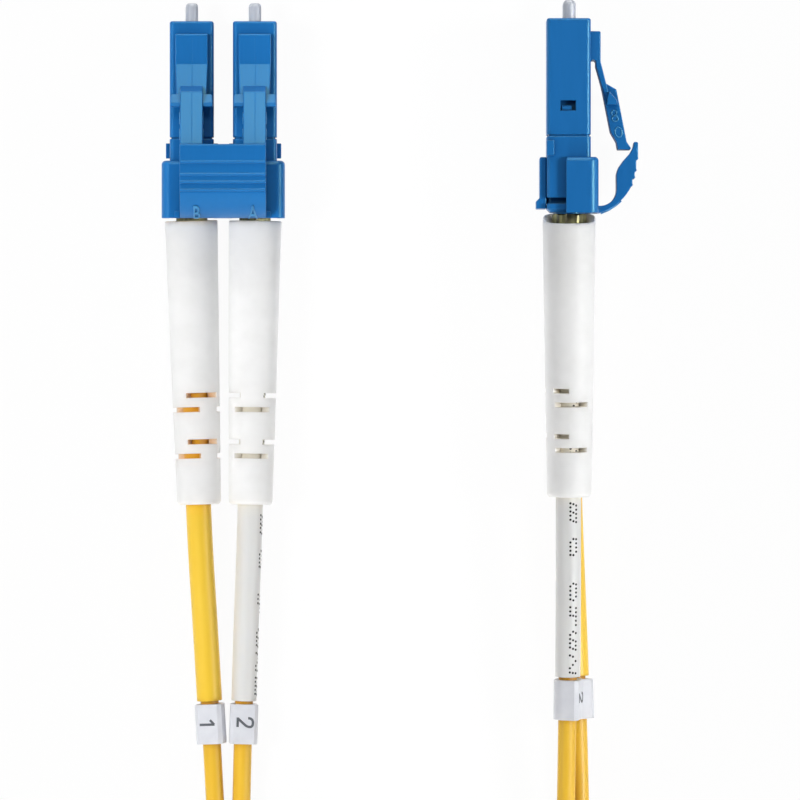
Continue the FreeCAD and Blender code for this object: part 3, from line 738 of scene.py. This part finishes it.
def crimpShape():
    c = crimp
    front, end, lip = c["front"], c["front"] + c["length"], c["lip"]
    rings = [roundRing(front, c["corner"] - lip), roundRing(front + lip, c["corner"], c["across"]),
             roundRing(end - lip, c["corner"], c["across"]), roundRing(end, c["corner"] - lip),
             roundRing(end, c["bore"]), roundRing(front, c["bore"])]
    return lofted("crimp shape", rings, closed=True, angle=c["sharp"])


# Spring behind the ferrule's collar: a round wire helix

spring = {"wire": 0.13, "turns": 4, "perTurn": 24, "wireSteps": 8, "travel": 1.0, "sharp": 50}


def buildSpring(plug):
    w = spring
    low, high = (Vector(c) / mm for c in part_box(plug + "_spring"))
    centre, reach = (low + high) / 2, (high.z - low.z) / 2 - w["wire"]
    front, length = high.y - w["wire"], high.y - low.y - 2 * w["wire"]
    steps = w["turns"] * w["perTurn"]
    wire = circle(w["wireSteps"])
    rings = []
    for i in range(steps + 1):
        turn = 2 * pi * i / w["perTurn"]
        out = Vector((sin(turn), 0, cos(turn)))
        place = Vector((centre.x, front, centre.z)) + out * reach + along * (length * i / steps)
        rings.append([place + (out * cos(t) + along * sin(t)) * w["wire"] for t in wire])
    piece = lofted(plug + "-spring", rings, material=finish["spring"], angle=w["sharp"], scale=mm)
    dress(piece, "cable", "spring_steel", plug + "_spring")
    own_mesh(piece)


# Duplex clip and its trigger

clip = {"half": 6.1, "front": 13.7, "rear": 19.2, "top": 2.86, "cheekLow": -0.33, "cheekRound": 0.9,
        "cornerRound": 0.38, "innerCorner": 0.06, "fit": 0.05, "plateHalf": 4.6, "plateLow": -2.94,
        "plateEnd": 18.8, "footBack": 17.75, "footLow": -3.29, "footSlope": 0.32, "webHalf": 0.9,
        "webFront": 0.02, "webRear": 0.5, "webSunk": 0.3, "webEdge": 0.03, "gusset": 0.45, "gussetLow": 2.5,
        "gussetLap": 0.1, "gussetRear": 0.08, "rootThickness": 0.7, "rootTop": 3.0, "edge": 0.07,
        "frontLeast": 0.1, "frontRise": 0.1, "frontFall": 0.25, "through": 1.0, "plateLap": 0.02}
# the left-hand clip reaches back to its boots, the right-hand one stops short
clipReach = {"a": 0.3, "b": 0.0, "from": 12.0, "over": 4.5}
trigger = {"width": 8.53, "tipBack": 12.2, "top": 6.78, "tipThickness": 0.41,
           "steps": [(14.0, 0.18), (15.15, 0.15), (15.85, 0.23), (16.6, 0.17)], "flare": 0.06,
           "tipRound": 0.32, "facet": 0.17, "facetDrop": 0.12, "gripEnd": 16.7, "bow": 0.4,
           "lip": [(12.75, 6.29), (13.3, 5.98), (14.05, 5.31), (14.75, 4.82), (15.4, 4.62)],
           "bellyRear": (16.9, 4.64), "neck": (17.95, 4.24), "edge": 0.09, "sunk": 2.3, "rootRise": 0.16,
           "facetFoot": 0.1, "stepRun": 0.03, "firstFlare": 0.5}


def clipShape():
    c, corner = clip, clip["innerCorner"]
    socketLow, socketHigh = housing["low"] - c["fit"], housing["high"] + c["fit"]
    rings = []
    for back, inset in frontEdge(c["front"], c["cornerRound"], 5):
        r = max(c["cheekRound"] - inset, c["frontLeast"])
        low, high = c["cheekLow"] + min(inset, c["frontRise"]), c["top"] - min(inset, c["frontFall"])
        rings.append(rectRing(back, c["half"] - inset, low, high, (r, r, corner, corner)))
    r = c["cheekRound"]
    for back, inset in rearEdge(c["rear"], corner, 2):
        rings.append(rectRing(back, c["half"] - inset, c["cheekLow"] + inset, c["top"] - inset,
                              (r, r, corner, corner)))
    body = lofted("clip shape", rings)
    reach = housing["half"] + c["fit"]
    before, behind = c["front"] - c["through"], c["rear"] + c["through"]
    cutOut(body, [block("socket", x - reach, x + reach, before, behind, socketLow, socketHigh)
                  for x in (-plugPitch / 2, plugPitch / 2)])
    extras = [block("web", -c["webHalf"], c["webHalf"], c["front"] + c["webFront"],
                    c["plateEnd"] - c["webRear"], socketLow - c["webSunk"], c["top"] - c["cheekRound"],
                    c["webEdge"])]
    plate = roundedOutline(
        [(c["front"], socketLow), (c["front"], c["plateLow"]),
         (c["footBack"] - c["plateLap"], c["plateLow"]), (c["footBack"] + c["footSlope"], c["footLow"]),
         (c["plateEnd"], c["footLow"]), (c["plateEnd"], socketLow)],
        [0.08, 0.2, 0.08, 0.1, 0.1, 0.08])
    extras.append(sidePrism("back plate", plate, 2 * c["plateHalf"], c["edge"]))
    for side in (-1, 1):
        half = c["gusset"] / 2
        x = side * (trigger["width"] / 2 + half)
        extras.append(block("gusset", x - half - c["gussetLap"], x + half, c["rear"] - c["rootThickness"],
                            c["rear"] - c["gussetRear"], c["gussetLow"], c["rootTop"], c["edge"]))
    return joined(body, extras)


def reachBack(piece, end):
    for v in piece.data.vertices:
        v.co.y -= clipReach[end] * clamp((-v.co.y - clipReach["from"]) / clipReach["over"])
    return piece


def triggerBow():  # the rear slope, from the grip's end down to the root
    t = trigger
    top = (t["gripEnd"], t["top"] - sum(step[1] for step in t["steps"]))
    root = (clip["rear"], clip["rootTop"])
    chord = Vector(root) - Vector(top)
    middle = (Vector(root) + Vector(top)) / 2 + Vector((-chord.y, chord.x)).normalized() * t["bow"]
    return [top] + arcThrough(top, tuple(middle), root, 12) + [root]


def triggerShape():
    t, c = trigger, clip
    rootInner = (c["rear"] - c["rootThickness"], c["rootTop"] + t["rootRise"])
    points = [(t["tipBack"], t["top"] - t["tipThickness"]), (t["tipBack"], t["top"])]
    radii = [0.12, t["tipRound"]]
    up = t["top"]
    for i, (back, drop) in enumerate(t["steps"]):  # finger ridges
        rise = t["flare"] * (1.0 if i else t["firstFlare"])
        points += [(back - t["facet"] - t["facetFoot"], up), (back - t["facet"], up + rise),
                   (back, up + rise - t["facetDrop"]), (back + t["stepRun"], up - drop)]
        radii += [0.1, 0.05, 0.04, 0.03]
        up -= drop
    bow = triggerBow()
    points += bow + [(c["rear"], t["sunk"]), (rootInner[0], t["sunk"]), rootInner]
    radii += [0.3] + [0] * (len(bow) - 2) + [0.3, 0, 0, 0.15]
    neck = arcThrough(rootInner, t["neck"], t["bellyRear"], 8)
    points += neck + [t["bellyRear"]] + t["lip"][::-1]
    radii += [0] * len(neck) + [0.5] + [1.2] * len(t["lip"])
    return flatten(sidePrism("trigger shape", roundedOutline(points, radii), t["width"], t["edge"]))


letters = {"places": {"B": -2.63, "A": 2.95}, "size": 3.3, "narrow": 0.42, "depth": 0.16, "bevel": 0.05,
           "fromRoot": 1.17}


def letterMesh(text):
    n = letters
    curve = bpy.data.curves.new("letter", "FONT")
    curve.body, curve.size, curve.extrude = text, n["size"], n["depth"] / 2
    curve.bevel_depth, curve.bevel_resolution, curve.offset = n["bevel"], 2, -0.5 * n["bevel"]
    curve.align_x, curve.align_y = "CENTER", "CENTER"
    holder = linked("letter", curve)
    mesh = meshOf(holder)
    bpy.data.objects.remove(holder)
    return mesh


def triggerLetters():  # raised A and B that name the two plugs, bent round the trigger's rear slope
    n = letters
    path = triggerBow()
    runs = runLengths(path)
    bm = bmesh.new()
    for text, x in n["places"].items():
        mesh = letterMesh(text)
        for v in mesh.vertices:
            run = runs[-1] - n["fromRoot"] - v.co.y
            k = max(i for i in range(len(path) - 1) if runs[i] <= run or i == 0)
            a, b = Vector(path[k]), Vector(path[k + 1])
            slope = (b - a).normalized()
            place = a + slope * (run - runs[k]) + Vector((-slope.y, slope.x)) * v.co.z
            v.co = (x + v.co.x * n["narrow"], -place.x, place.y)
        bm.from_mesh(mesh)
    return objectFrom("trigger letters", bm)


# Cable: legs, sleeves, markers and the coiled twin cable

legRoute = {
    "a1": [(-20.50, -1.67, 3.29), (-20.24, -21.5, 3.29), (-18.82, -43.5, 2.60), (-17.80, -64.0, 0.95)],
    "a2": [(-14.36, -1.67, 3.29), (-14.60, -21.5, 3.29), (-15.46, -43.5, 2.60), (-15.90, -64.0, 0.95)],
    "b1": [(16.78, -1.49, 2.91), (16.60, -19.0, 2.43), (17.36, -37.0, 1.95), (17.96, -54.5, 1.40),
           (18.10, -70.0, 0.95)],
    "b2": [(16.77, -1.49, 8.98), (16.68, -19.0, 7.36), (16.70, -37.0, 5.88), (16.50, -54.5, 3.90),
           (16.20, -70.0, 0.95)],
}
leadRoute = {
    "a": [(-16.85, -64.0, 1.30), (-17.55, -73.0, 1.50), (-19.40, -83.5, 2.10), (-21.70, -92.0, 2.35)],
    "b": [(17.15, -70.0, 1.30), (17.90, -77.5, 2.20), (19.70, -86.0, 4.60), (21.75, -92.5, 6.10)],
}
leg = {"radius": 0.9, "steps": 48, "webTurn": -55.0, "webHeight": 0.07, "webWidth": 0.11, "dipDepth": 0.03,
       "dipPlace": 0.3, "dipWidth": 0.12, "sharp": 50}
sleeve = {"radius": 1.25, "bore": 0.95, "steps": 40, "front": 26.0, "end": {"a": 67.26, "b": 65.0},
          "lip": 0.05, "lipShare": 0.08}
marker = {"half": 1.36, "face": 1.35, "length": 3.95, "bevel": 0.36, "belly": 1.26, "bore": 0.93,
          "gap": 0.31, "edge": 0.08, "stroke": 0.26, "inkHalf": 0.015, "inkRaise": 0.008,
          "digitBack": {"1": 1.92, "2": 1.75}, "digitScale": 0.93}
digitStrokes = {"1": [[(-0.42, 0.36), (0.07, 0.8)], [(0.07, 0.84), (0.07, -0.8)]],
                "2": [[(-0.44, 0.38), (-0.44, 0.88), (0.46, 0.92), (0.52, 0.34), (0.06, -0.2),
                       (-0.42, -0.74)], [(-0.5, -0.72), (0.52, -0.72)]]}
markerTurn = {"a1": -16.0, "a2": 5.0, "b1": 112.0, "b2": 77.0}
markerShift = {"a1": 0.09, "a2": 0.0, "b1": 0.0, "b2": 0.0}  # the moulding sits a little to one side
coil = {"centreY": -98.5, "innerR": 16.0, "pitch": 1.9, "turns": 6.5, "low": 2.35, "high": 6.1,
        "perTurn": 16, "riseTurns": 0.7}
twin = {"radius": 0.9, "offset": 0.95, "web": 0.34, "lobeSteps": 21, "twistFrom": 3.0, "twistOver": 24.0}
tie = {"thickness": 0.45, "inner": 15.0, "outer": 23.2, "low": 0.5, "high": 8.0, "width": 8.0,
       "corner": 1.6, "clearance": 0.05, "steps": 9, "sharp": 40}


def splinePoints(route, resolution):
    curve = bpy.data.curves.new("route", "CURVE")
    curve.dimensions = "3D"
    spline = curve.splines.new("NURBS")
    spline.points.add(len(route) - 1)
    for point, place in zip(spline.points, route):
        point.co = (*place, 1.0)
    spline.order_u = 3
    spline.use_endpoint_u = True
    spline.resolution_u = resolution
    holder = linked("route", curve)
    mesh = meshOf(holder)
    points = [v.co.copy() for v in mesh.vertices]
    bpy.data.objects.remove(holder)
    bpy.data.meshes.remove(mesh)
    return points


def pathFrames(points):
    frames = []
    for i, point in enumerate(points):
        ahead = (points[min(i + 1, len(points) - 1)] - points[max(i - 1, 0)]).normalized()
        side = ahead.cross(Vector((0, 0, 1))).normalized()
        frames.append((point, ahead, side, side.cross(ahead)))
    return frames


def pointAtY(points, y):
    for a, b in zip(points, points[1:]):
        if b.y <= y <= a.y:
            return a.lerp(b, (a.y - y) / (a.y - b.y))
    return points[0] if y > points[0].y else points[-1]


def betweenY(points, top, bottom, clear=0.05):
    inside = [p for p in points if bottom + clear < p.y < top - clear]
    return [pointAtY(points, top)] + inside + [pointAtY(points, bottom)]


def tubeRings(frames, section):
    return [[p + side * s + up * t for s, t in section] for p, ahead, side, up in frames]


def roundSection(radius, count):
    return [(radius * cos(t), radius * sin(t)) for t in circle(count)]


def legSection():  # round, with the low ridge that the torn web leaves
    section = []
    for turn in circle(leg["steps"]):
        away = (turn - radians(90 + leg["webTurn"]) + pi) % (2 * pi) - pi
        ridge = leg["webHeight"] * exp(-(away / leg["webWidth"]) ** 2)
        dip = leg["dipDepth"] * exp(-((abs(away) - leg["dipPlace"]) / leg["dipWidth"]) ** 2)
        radius = leg["radius"] + ridge - dip
        section.append((radius * cos(turn), radius * sin(turn)))
    return section


def buildSleeve(plug, tube):
    outer, inner = (tubeRings(tube, roundSection(sleeve[size], sleeve["steps"]))
                    for size in ("radius", "bore"))
    ahead = tube[-1][1]
    lip = [[p - ahead * sleeve["lip"] for p in outer[-1]],
           [p + (q - p) * sleeve["lipShare"] for p, q in zip(outer[-1], inner[-1])]]
    hue = "yellow" if plug[1] == "1" else "white"
    rings = outer[:-1] + lip + inner[::-1]
    piece = lofted(plug + "-sleeve", rings, True, finish[hue + "Sleeve"], leg["sharp"], mm)
    return dress(piece, "cable", hue + "_sleeve", plug + "_sleeve")


def buildLegs():
    for plug, route in legRoute.items():
        points = splinePoints(route, routeSteps["leg"])
        rings = tubeRings(pathFrames(points), legSection())
        cord = lofted(plug + "-leg", rings, False, finish["jacket"], leg["sharp"], mm)
        dress(cord, "cable", "yellow_jacket", plug + "_leg")
        front = plugOrigin(plug).y / mm
        sleeveEnd = front - sleeve["end"][plug[0]]
        pieces = [buildSleeve(plug, pathFrames(betweenY(points, front - sleeve["front"], sleeveEnd)))]
        pieces += buildMarker(plug, points, sleeveEnd - marker["gap"])
        if plug in printRun:
            pieces.append(buildPrint(plug, points, front))


def digitMesh(text):  # flat pen strokes with a little ink thickness
    m = marker
    bm = bmesh.new()
    section = [(m["stroke"] / 2 * s, m["inkHalf"] * t) for s, t in ((-1, -1), (1, -1), (1, 1), (-1, 1))]
    for stroke in digitStrokes[text]:
        pen = splinePoints([(x, y, 0.0) for x, y in stroke], routeSteps["digit"])
        loft(bm, tubeRings(pathFrames(pen), section))
    bmesh.ops.recalc_face_normals(bm, faces=bm.faces)
    mesh = bpy.data.meshes.new("digit")
    bm.to_mesh(mesh)
    bm.free()
    return mesh


def buildMarker(plug, points, y):
    m = marker
    start, far = pointAtY(points, y), pointAtY(points, y - m["length"])
    rings = []
    for back, inset in frontEdge(0, m["edge"], 3) + rearEdge(m["length"], m["edge"], 3):
        corners = tuple(c - copysign(inset, c) for c in (-m["bevel"], -m["bevel"], m["belly"], m["belly"]))
        ring = rectRing(back, m["half"] - inset, -m["half"] + inset, m["face"] - inset, corners)
        for p in ring:
            p.x += markerShift[plug]
        rings.append(ring)
    rings += [roundRing(m["length"], m["bore"]), roundRing(0, m["bore"])]
    aim = along.rotation_difference(far - start).to_matrix().to_4x4()
    place = Matrix.Scale(mm, 4) @ Matrix.Translation(start) @ aim @ turned(markerTurn[plug], "Y")
    bm = bmesh.new()
    loft(bm, rings, closed=True)
    bmesh.ops.transform(bm, matrix=place, verts=bm.verts)
    body = objectFrom(plug + "-marker", bm, finish["marker"])
    dress(body, "cable", "marker_plastic", plug + "_marker")
    onFace = Matrix.Translation((0, -m["digitBack"][plug[1]], m["face"] + m["inkRaise"]))
    digit = digitMesh(plug[1])
    digit.transform(place @ onFace @ turned(-90, "Z") @ Matrix.Scale(m["digitScale"], 4))
    ink = objectOf(plug + "-marker-digit", digit, finish["digit"])
    return [body, dress(ink, "cable", "marker_plastic")]


# Dot print on the white sleeves: each dot is one disc on the tube's skin

dotFont = {
    "0": (".##", "#.#", "#.#", "#.#", "##."),
    "2": ("##.", "..#", ".#.", "#..", "###"),
    "4": ("#.#", "#.#", "###", "..#", "..#"),
    "6": (".##", "#..", "###", "#.#", "###"),
    "8": ("###", "#.#", "###", "#.#", "###"),
}
printRun = {"a2": {"text": "82208 8 0  4 628", "start": 35.9, "turn": 74.0},
            "b2": {"text": "82208 8 0  04628", "start": 34.8, "turn": 23.0}}
printDot = {"diameter": 0.24, "height": 0.012, "along": 0.41, "around": 0.31, "slant": 0.09, "wobble": 0.04,
            "letter": 2.4, "space": 1.0, "margin": 0.2, "raise": 0.002, "sides": 10, "wave": 12.9,
            "ahead": 0.2}


def dotTree():
    tree = bpy.data.node_groups.new("dot print", "GeometryNodeTree")
    for name, kind in (("Geometry", "Geometry"), ("Dot Diameter", "Float"), ("Dot Height", "Float"),
                       ("Ink", "Material")):
        tree.interface.new_socket(name=name, in_out="INPUT", socket_type="NodeSocket" + kind)
    tree.interface.new_socket(name="Geometry", in_out="OUTPUT", socket_type="NodeSocketGeometry")
    given = addNode(tree, "NodeGroupInput")
    half = addNode(tree, "ShaderNodeMath", {"operation": "MULTIPLY", 1: 0.5},
                   {0: given.outputs["Dot Diameter"]})
    disc = addNode(tree, "GeometryNodeMeshCylinder", {"Vertices": printDot["sides"]},
                   {"Radius": half.outputs[0], "Depth": given.outputs["Dot Height"]})
    outward = addNode(tree, "GeometryNodeInputNamedAttribute",
                      {"data_type": "FLOAT_VECTOR", "Name": "outward"})
    turn = addNode(tree, "FunctionNodeAlignRotationToVector", {"axis": "Z"},
                   {"Vector": outward.outputs["Attribute"]})
    spread = addNode(tree, "GeometryNodeInstanceOnPoints", links={
        "Points": given.outputs["Geometry"], "Instance": disc.outputs["Mesh"],
        "Rotation": turn.outputs["Rotation"]})
    real = addNode(tree, "GeometryNodeRealizeInstances", links={"Geometry": spread.outputs["Instances"]})
    inked = addNode(tree, "GeometryNodeSetMaterial", links={
        "Geometry": real.outputs["Geometry"], "Material": given.outputs["Ink"]})
    addNode(tree, "NodeGroupOutput", links={"Geometry": inked.outputs["Geometry"]})
    return tree


def printPlaces(plug, points, front):
    run, dot = printRun[plug], printDot
    places, outwards = [], []
    back = run["start"]
    for character in run["text"]:
        rows = dotFont.get(character, ())
        for r, row in enumerate(rows):
            for c, mark in enumerate(row):
                wobble = dot["wobble"] * sin(dot["wave"] * (r + len(rows) * c) + back)
                far = back + r * dot["along"] + c * dot["slant"] + wobble
                if mark == "#" and far < sleeve["end"][plug[0]] - dot["margin"]:
                    centre = pointAtY(points, front - far)
                    ahead = (pointAtY(points, front - far - dot["ahead"]) - centre).normalized()
                    side = ahead.cross(Vector((0, 0, 1))).normalized()
                    turn = radians(run["turn"]) + (c - 1) * dot["around"] / sleeve["radius"]
                    out = side.cross(ahead) * cos(turn) - side * sin(turn)
                    places.append((centre + out * (sleeve["radius"] + dot["raise"])) * mm)
                    outwards.append(out)
        back += dot["space" if character == " " else "letter"]
    return places, outwards


def buildPrint(plug, points, front):
    places, outwards = printPlaces(plug, points, front)
    mesh = bpy.data.meshes.new(plug + "-print")
    mesh.from_pydata(places, [], [])
    attribute = mesh.attributes.new("outward", "FLOAT_VECTOR", "POINT")
    for item, out in zip(attribute.data, outwards):
        item.vector = out
    piece = linked(plug + "-sleeve-print", mesh)
    tree = bpy.data.node_groups.get("dot print") or dotTree()
    printer = piece.modifiers.new("dots", "NODES")
    printer.node_group = tree
    values = {"Dot Diameter": printDot["diameter"] * mm, "Dot Height": printDot["height"] * mm,
              "Ink": finish["print"]}
    for item in tree.interface.items_tree:
        if item.in_out == "INPUT" and item.name in values:
            printer[item.identifier] = values[item.name]
    bake(piece)
    smooth(piece)
    return dress(piece, "cable", "white_sleeve")


def twinSection():  # two round legs and the web between them
    t = twin
    gap = asin(t["web"] / 2 / t["radius"])
    section = []
    for lobe in (1, -1):
        for i in range(t["lobeSteps"] + 1):
            turn = -pi + gap + (2 * pi - 2 * gap) * i / t["lobeSteps"]
            if lobe < 0:
                turn += pi
            section.append((lobe * t["offset"] + t["radius"] * cos(turn), t["radius"] * sin(turn)))
    return section


def coilRoute():
    c = coil
    half = c["turns"] / 2
    route = []
    for i in range(int(c["turns"] * c["perTurn"]) + 1):
        turns = i / c["perTurn"]
        radius = c["innerR"] + c["pitch"] * abs(turns - half)
        rise = eased((turns - half + c["riseTurns"] / 2) / c["riseTurns"])
        height = c["low"] + (c["high"] - c["low"]) * rise
        angle = pi + 2 * pi * turns
        route.append((radius * cos(angle), c["centreY"] + radius * sin(angle), height))
    return route


def buildTwin():
    points = splinePoints(leadRoute["a"] + coilRoute() + leadRoute["b"][::-1], routeSteps["twin"])
    runs = runLengths(points)
    section = twinSection()
    rings = []
    for (p, ahead, side, up), run in zip(pathFrames(points), runs):
        twist = pi / 2 * eased((min(run, runs[-1] - run) - twin["twistFrom"]) / twin["twistOver"])
        if run > runs[-1] / 2:
            twist = pi - twist  # both ends lie flat, the coil stands on edge
        s, u = side * cos(twist) + up * sin(twist), up * cos(twist) - side * sin(twist)
        rings.append([p + s * a + u * b for a, b in section])
    cord = lofted("twin-cable", rings, False, finish["jacket"], leg["sharp"], mm)
    return dress(cord, "cable", "yellow_jacket", "a_twin_lead", "b_twin_lead", "coil"), points


def buildTie():
    t = tie
    middle, half = (t["inner"] + t["outer"]) / 2, (t["outer"] - t["inner"]) / 2
    inner, outer = t["clearance"], t["clearance"] + t["thickness"]
    across = [t["width"] * (i / (t["steps"] - 1) - 0.5) for i in range(t["steps"])]
    rings = []
    for shell, x in [(inner, x) for x in across] + [(outer, x) for x in reversed(across)]:
        low = t["low"] - min(shell, t["thickness"])
        ring = rectRing(0, half + shell, low, t["high"] + shell, t["corner"])
        bulge = hypot(middle, x) - middle
        rings.append([Vector((x, coil["centreY"] - middle + bulge + p.x, p.z)) for p in ring])
    piece = lofted("coil-tie", rings, True, finish["tape"], t["sharp"], mm)
    return dress(piece, "cable", "tie_fabric", "coil_tie")


# Assembly. Each latch and trigger is placed with its transform baked into its mesh


def bend(piece):
    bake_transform(piece)


def buildPlugs():
    shapes = {"housing": housingShape(), "rear-body": rearBodyShape(), "crimp": crimpShape(),
              "ferrule": ferruleShape(), "latch": latchShape(), "latch-marks": tailMarkShape()}
    for plug in plugs:
        place = plugFrame[plug]
        for name, look, body, slotName, node in (
                ("housing", "blue", "cable", "blue_plastic", "_plug_housing"),
                ("rear-body", "blue", "cable", "blue_plastic", "_rear_body"),
                ("crimp", "crimp", "cable", "crimp_metal", "_crimp_sleeve"),
                ("ferrule", "zirconia", plug + "_ferrule_unit", "ceramic", "_ferrule")):
            piece = placedCopy(shapes[name], plug + "-" + name, place, finish[look])
            dress(piece, body, slotName, plug + node)
        buildBoot(plug)
        arm = placedCopy(shapes["latch"], plug + "-latch", place, finish["blue"])
        bend(arm)
        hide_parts(plug + "_latch")
        # the raised tail marks take the paler blue, a painted highlight
        marks = placedCopy(shapes["latch-marks"], plug + "-latch-marks", place, finish["paintedHighlight"])
        dress(marks, plug + "_latch_arm", "blue_plastic")
        buildSpring(plug)
        paint(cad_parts[plug + "_ferrule_flange"].data, finish["collar"])
    for shape in shapes.values():
        bpy.data.objects.remove(shape)


def buildEnds():
    shapes = {"clip": clipShape(), "trigger": triggerShape(), "trigger-letters": triggerLetters()}
    for end in ends:
        made = {}
        for name in shapes:
            # the raised letters take the paler blue, a painted highlight
            look = finish["paintedHighlight" if name == "trigger-letters" else "blue"]
            made[name] = reachBack(placedCopy(shapes[name], end + "-" + name, Matrix(), look), end)
            made[name].data.transform(endFrame[end])
        dress(made["clip"], "cable", "blue_plastic", end + "_clip")
        for name in ("trigger", "trigger-letters"):
            bend(made[name])
        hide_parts(end + "_trigger")
    for shape in shapes.values():
        bpy.data.objects.remove(shape)


buildPlugs()
print("plugs built")
buildEnds()
print("clips and triggers built")
buildLegs()
print("legs built")
twinCord, twinPoints = buildTwin()
buildTie()


# Floor, light and camera

view = {"pixelsPerMm": 10.1, "frame": 800, "target": (0.045, -14.555, 4.0), "distance": 1.8, "sensor": 36.0}
studio = {"floor": "#F0F0F0", "floorHalf": 3.0, "floorSeen": 0.96, "card": "#0C0C0C", "cardHalf": 0.5,
          "cardHeight": 1.2, "world": 0.03}
# Metres and watts. A strip shows on glossy surfaces alone; a lamp without gloss gives shape, no streaks
lamps = {
    "front softbox": {"place": (0.0, 0.415, 0.91), "size": (0.215, 0.15), "power": 0.9},
    "front strip": {"place": (0.0, 0.415, 0.91), "size": (0.215, 0.15), "power": 1.0, "matte": False},
    "low front softbox": {"place": (0.0, 0.9, 0.32), "size": (0.7, 0.3), "power": 2.6},
    "low front strip": {"place": (0.0, 0.9, 0.32), "size": (0.7, 0.3), "power": 2.7, "matte": False},
    "rear softbox": {"place": (0.0, -0.93, 0.3), "size": (0.9, 0.4), "power": 5.2, "gloss": False},
    "left gridded softbox": {"place": (-0.062, -0.015, 0.055), "aim": (-0.024, -0.015, 0.004),
                             "size": (0.18, 0.05), "power": 0.0199, "spread": 24, "gloss": False},
    "right gridded softbox": {"place": (0.078, -0.015, 0.042), "aim": (0.033, -0.015, 0.006),
                              "size": (0.18, 0.05), "power": 0.0192, "spread": 24},
    "middle fill": {"place": (-0.006, -0.015, 0.013), "aim": (0.022, -0.015, 0.004),
                    "size": (0.18, 0.02), "power": 0.0062, "spread": 140, "gloss": False},
}


def seenDirectly(tree):  # what the camera, a reflection or clear plastic shows
    ray = addNode(tree, "ShaderNodeLightPath")
    both = addNode(tree, "ShaderNodeMath", {"operation": "MAXIMUM"},
                   {0: ray.outputs["Is Camera Ray"], 1: ray.outputs["Is Glossy Ray"]})
    return addNode(tree, "ShaderNodeMath", {"operation": "MAXIMUM"},
                   {0: both.outputs[0], 1: ray.outputs["Is Transmission Ray"]}).outputs[0]


def stageGrid(name, half, height, material):
    bm = bmesh.new()
    bmesh.ops.create_grid(bm, x_segments=1, y_segments=1, size=half)
    bmesh.ops.translate(bm, vec=(0, 0, height), verts=bm.verts)
    return objectFrom(name, bm, material)


def darkCard():  # hangs over the object, so that its flat tops stay deep in colour
    material, tree = emptyMaterial("black card")
    matte = addNode(tree, "ShaderNodeBsdfDiffuse", {"Color": linear(studio["card"])})
    addNode(tree, "ShaderNodeOutputMaterial", links={"Surface": matte.outputs["BSDF"]})
    card = stageGrid("card", studio["cardHalf"], studio["cardHeight"], material)
    card.visible_camera = card.visible_shadow = False
    return card


def paleFloor():  # matte board that shows white, and keeps a trace of the shadow
    material, tree = emptyMaterial("pale floor")
    matte = addNode(tree, "ShaderNodeBsdfDiffuse", {"Color": linear(studio["floor"])})
    glow = addNode(tree, "ShaderNodeEmission", {"Strength": 1.0})
    seen = addNode(tree, "ShaderNodeMath", {"operation": "MULTIPLY", 1: studio["floorSeen"]},
                   {0: seenDirectly(tree)})
    mix = addNode(tree, "ShaderNodeMixShader", links={
        0: seen.outputs[0], 1: matte.outputs["BSDF"], 2: glow.outputs["Emission"]})
    addNode(tree, "ShaderNodeOutputMaterial", links={"Surface": mix.outputs["Shader"]})
    return stageGrid("floor", studio["floorHalf"], 0.0, material)


def softbox(name, place, size, power, aim=(0.0, 0.0, 0.0), spread=180, gloss=True, matte=True):
    lamp = bpy.data.lights.new(name, "AREA")
    lamp.spread = radians(spread)
    lamp.shape, lamp.size, lamp.size_y, lamp.energy = "RECTANGLE", size[0], size[1], power
    holder = linked(name, lamp)
    holder.location = place
    facing = Vector(aim) - Vector(place)
    across = Vector((0, 1, 0)) if abs(facing.x) > abs(facing.y) else Vector((1, 0, 0))
    normal = -facing.normalized()
    holder.rotation_euler = Matrix((across, normal.cross(across), normal)).transposed().to_euler()
    holder.visible_camera = False
    holder.visible_glossy, holder.visible_diffuse = gloss, matte


def buildWorld():
    world = bpy.data.worlds.new("studio")
    world.use_nodes = True
    bpy.context.scene.world = world
    tree = world.node_tree
    tree.nodes.clear()
    dim, white = (addNode(tree, "ShaderNodeBackground", {"Color": (1, 1, 1, 1), "Strength": strength})
                  for strength in (studio["world"], 1.0))
    mix = addNode(tree, "ShaderNodeMixShader", links={
        0: seenDirectly(tree), 1: dim.outputs["Background"], 2: white.outputs["Background"]})
    addNode(tree, "ShaderNodeOutputWorld", links={"Surface": mix.outputs["Shader"]})


def buildCamera():
    camera = bpy.data.cameras.new("camera")
    camera.sensor_width = view["sensor"]
    camera.lens = view["sensor"] * view["distance"] / (view["frame"] / view["pixelsPerMm"] * mm)
    eye = linked("camera", camera)
    eye.location = Vector(view["target"]) * mm + Vector((0, 0, view["distance"]))
    bpy.context.scene.camera = eye


paleFloor()
darkCard()
for lampName, values in lamps.items():
    softbox(lampName, **values)
buildWorld()
buildCamera()
bpy.context.scene.view_settings.view_transform = "Standard"
print("stage set")
